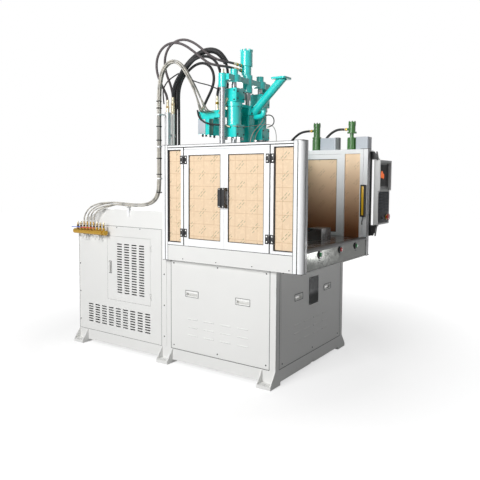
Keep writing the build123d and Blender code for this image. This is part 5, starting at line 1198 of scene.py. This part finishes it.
# Thin lines on the clamp: diameter, or none for the size that the user sets, skin and route
THIN_LINES = {
    "front_wire": (None, "wire_skin", [
        (-0.3, -0.49, 2.09), (-0.283, -0.535, 2.085), (-0.239, -0.545, 2.082), (-0.16, -0.54, 2.09),
        (-0.077, -0.54, 2.103), (0.093, -0.54, 2.13), (0.236, -0.545, 2.145), (0.329, -0.54, 2.129),
        (0.373, -0.54, 2.07), (0.376, -0.54, 1.983), (0.376, -0.54, 1.874)]),
    "left_wire": (None, "wire_skin", [
        (0.03, -0.54, 2.2), (0.03, -0.59, 2.192), (0.0, -0.62, 2.155), (-0.071, -0.615, 2.1),
        (-0.146, -0.6, 2.033), (-0.187, -0.6, 1.96), (-0.195, -0.6, 1.874)]),
    "right_wire": (None, "wire_skin", [
        (0.05, -0.54, 2.2), (0.07, -0.59, 2.195), (0.06, -0.62, 2.155), (0.0, -0.615, 2.11),
        (-0.07, -0.6, 2.05), (-0.115, -0.6, 1.97), (-0.125, -0.6, 1.874)]),
    "plate_hose": (0.016, "thin_rubber", [
        (-0.296, -0.1, 2.25), (-0.3, -0.108, 2.21), (-0.3, -0.135, 2.165), (-0.3, -0.2, 2.128),
        (-0.3, -0.28, 2.112), (-0.3, -0.35, 2.105), (-0.3, -0.41, 2.095), (-0.297, -0.46, 2.085)]),
    "chute_loop": (0.01, "thin_rubber", [
        (0.06, -0.535, 2.19), (0.13, -0.56, 2.215), (0.203, -0.565, 2.232), (0.277, -0.565, 2.215),
        (0.3, -0.56, 2.165), (0.262, -0.55, 2.128), (0.215, -0.537, 2.118)]),
}
LINK_ROUTE = [
    (-0.548, 0.08, 2.29), (-0.535, 0.1, 2.354), (-0.51, 0.125, 2.42), (-0.478, 0.125, 2.478),
    (-0.44, 0.095, 2.535), (-0.398, 0.035, 2.578)]
COLUMN_ROUTE = [
    (-0.54, -0.235, 2.47), (-0.51, -0.281, 2.448), (-0.48, -0.323, 2.438), (-0.45, -0.353, 2.428),
    (-0.42, -0.378, 2.415), (-0.385, -0.4, 2.4)]
# Lead below a light curtain: how far out, back and up each point lies from the bar's lower end
LEAD_STEPS = [(-0.017, 0, 0.003), (-0.017, 0, -0.012), (-0.021, 0.003, -0.03), (-0.019, 0.008, -0.048),
              (-0.011, 0.012, -0.064), (0.002, 0.015, -0.075)]


class MACHINE_OT_thin_lines(bpy.types.Operator):
    """Lays the thin hoses and wires of the injection unit, and the leads of the light curtains"""
    bl_idname = "machine.thin_lines"
    bl_label = "Thin hoses and wires"

    def execute(self, context):
        # The fourth argument of each skin is the colour of painted shade in the grooves between the rings.
        hose_material("wire_skin", paint_code(176, 172, 160), 6.0, (0.4, 0.39, 0.36), 0.3, 0.02)
        hose_material("thin_rubber", paint_code(30, 30, 32), 90.0, (0.004, 0.004, 0.005))
        for name, (size, skin, points) in THIN_LINES.items():
            lay_cord(name, points, size or context.scene.machine_sizes.wire, skin, (CLAMP,))
        lay_cord("link_hose", LINK_ROUTE, 0.012, "thin_rubber", (FIXED, CLAMP))
        lay_cord("column_hose", COLUMN_ROUTE, 0.01, "thin_rubber", (FIXED, CLAMP))
        low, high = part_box("light_curtains")
        middle = (low[1] + high[1]) / 2
        for name, side in (("left_curtain_lead", -1), ("right_curtain_lead", 1)):
            lead = [(side * (high[0] + x), middle + y, low[2] + z) for x, y, z in LEAD_STEPS]
            lay_cord(name, lead, 0.008, "thin_rubber", (FIXED,))
        under, loop = THIN_LINES["plate_hose"][2], THIN_LINES["chute_loop"][2]
        ends = [ferrule(under[-1], (-0.2, 0.97, 0.2), 0.008),
                ferrule(loop[-1], (0.5, -0.1, 0.1), 0.005, 0.03),
                ferrule(loop[0], (0.8, -0.3, 0.3), 0.005, 0.03)]
        fit("thin_ferrules", ends, CLAMP, "pale_brass")
        bend = [(0, -0.53, 2.19), (0, -0.585, 2.19), (0, -0.625, 2.205), (0, -0.625, 2.245)]
        elbow, line = tube_piece("chute_elbow", bend, 0.045, 5)
        finished(elbow, CLAMP, "casting_paint")
        return {"FINISHED"}


# Stage

class MACHINE_OT_stage(bpy.types.Operator):
    """Sets up the floor, the backdrop, the lamps and the camera"""
    bl_idname = "machine.stage"
    bl_label = "Stage"

    def execute(self, context):
        scene = context.scene
        scene.view_settings.view_transform = "Standard"
        deselect()
        bpy.ops.mesh.primitive_plane_add(size=40, location=(0, 0, -0.0006))
        floor = context.object
        floor.name = "floor"
        bpy.ops.object.mode_set(mode="EDIT")
        bpy.ops.mesh.subdivide(number_cuts=3)
        done_editing()
        apply_place(floor)
        floor.data.materials.append(floor_material())
        light_world(scene)
        self.lamps(scene)
        self.camera(scene)
        return {"FINISHED"}

    def lamps(self, scene):
        middle = (0, -0.2, 1.3)
        box_end = (-0.5, -1.36, 1.08)
        for name, place, size, power, target in (("key_lamp", (-7.2, -0.4, 3.9), 3.6, 545.0, middle),
                                                 ("window_lamp", (4.74, -3.99, 0.33), 0.32, 5.0, box_end),
                                                 ("top_lamp", (-1.0, 0.5, 7.5), 5.0, 45.0, middle),
                                                 ("rear_lamp", (6.4, 6.0, 2.6), 5.0, 190.0, middle)):
            lamp = bpy.data.lights.new(name, "AREA")
            lamp.size = size
            lamp.energy = power
            self.aim(scene, bpy.data.objects.new(name, lamp), place, Vector(target) - Vector(place))

    def camera(self, scene):
        data = bpy.data.cameras.new("photo_camera")
        data.lens = 40.972
        data.sensor_width = 36.0
        data.shift_y = -0.0517
        data.clip_end = 100.0
        camera = bpy.data.objects.new("photo_camera", data)
        yaw, pitch, roll = (math.radians(value) for value in (34.036, 3.791, 0.331))
        look = (math.cos(yaw) * math.cos(pitch), math.sin(yaw) * math.cos(pitch), -math.sin(pitch))
        self.aim(scene, camera, (-4.2415, -3.2382, 1.6275), Vector(look), roll)
        scene.camera = camera

    def aim(self, scene, holder, place, look, roll=0.0):
        """Puts a lamp or camera in the scene, looking along a direction."""
        holder.location = place
        holder.rotation_mode = "QUATERNION"
        holder.rotation_quaternion = look.to_track_quat("-Z", "Y") @ Quaternion((0, 0, 1), roll)
        scene.collection.objects.link(holder)


def backdrop_rays(graph):
    """One where the camera sees the surface, in a mirror and through glass too."""
    path = graph.add("LightPath").outputs
    return graph.most(path["Is Camera Ray"], path["Is Glossy Ray"], path["Is Transmission Ray"])


def floor_material():
    """Pale floor: the camera sees it lit up to white, with the machine's shadow on it."""
    material = bpy.data.materials.new("pale_floor")
    material.use_nodes = True
    graph = Graph(material.node_tree)
    plain = graph.add("BsdfDiffuse", {"Color": (0.45, 0.45, 0.45, 1)}).outputs[0]
    away = graph.vector("LENGTH", graph.place(), output="Value")
    # Painted light: the floor's glow is 0.66 within 1.7 m of the middle and full beyond 3.6 m, so it is white
    # far off and darker round the machine, where the real shadow shows.
    lit = {"Color": (1, 1, 1, 1), "Strength": graph.ramp(away, 1.7, 3.6, 0.66, 1.0)}
    both = graph.add("AddShader", {0: plain, 1: graph.add("Emission", lit).outputs[0]}).outputs[0]
    picked = graph.add("MixShader", {0: backdrop_rays(graph), 1: plain, 2: both})
    graph.add("OutputMaterial", {0: picked.outputs[0]})
    return material


def light_world(scene):
    """Dim even light on the machine, and a white background."""
    world = bpy.data.worlds.new("studio")
    world.use_nodes = True
    scene.world = world
    graph = Graph(world.node_tree)
    dim = graph.add("Background", {"Color": (0.93, 0.96, 1.0, 1), "Strength": 0.055}).outputs[0]
    white = graph.add("Background", {"Color": (1, 1, 1, 1), "Strength": 1.0}).outputs[0]
    picked = graph.add("MixShader", {0: backdrop_rays(graph), 1: dim, 2: white})
    graph.add("OutputWorld", {0: picked.outputs[0]})


class MACHINE_PT_panel(bpy.types.Panel):
    """Lists the steps that dress the machine"""
    bl_idname = "MACHINE_PT_panel"
    bl_label = "Moulding machine"
    bl_space_type = "VIEW_3D"
    bl_region_type = "UI"
    bl_category = "Moulding"

    def draw(self, context):
        for group in (context.scene.machine_sizes, context.scene.machine_colours):
            box = self.layout.box()
            for label in group.__annotations__:
                box.prop(group, label)
        for step in STEPS:
            self.layout.operator(step.bl_idname)


STEPS = (MACHINE_OT_finishes, MACHINE_OT_panel_screws, MACHINE_OT_guard_trim, MACHINE_OT_door_trim,
         MACHINE_OT_front_plate, MACHINE_OT_controls, MACHINE_OT_operator_panel, MACHINE_OT_manifold,
         MACHINE_OT_unit_bolts, MACHINE_OT_boxes, MACHINE_OT_auxiliary, MACHINE_OT_hoses,
         MACHINE_OT_hose_ends, MACHINE_OT_thin_lines, MACHINE_OT_stage)
CLASSES = (MachineColours, MachineSizes) + STEPS + (MACHINE_PT_panel,)


def register():
    for item in CLASSES:
        bpy.utils.register_class(item)
    bpy.types.Scene.machine_colours = bpy.props.PointerProperty(type=MachineColours)
    bpy.types.Scene.machine_sizes = bpy.props.PointerProperty(type=MachineSizes)


def unregister():
    del bpy.types.Scene.machine_sizes
    del bpy.types.Scene.machine_colours
    for item in reversed(CLASSES):
        bpy.utils.unregister_class(item)


def main():
    register()
    deselect()
    for step in STEPS:
        family, name = step.bl_idname.split(".")
        getattr(getattr(bpy.ops, family), name)()


if __name__ == "__main__":
    main()
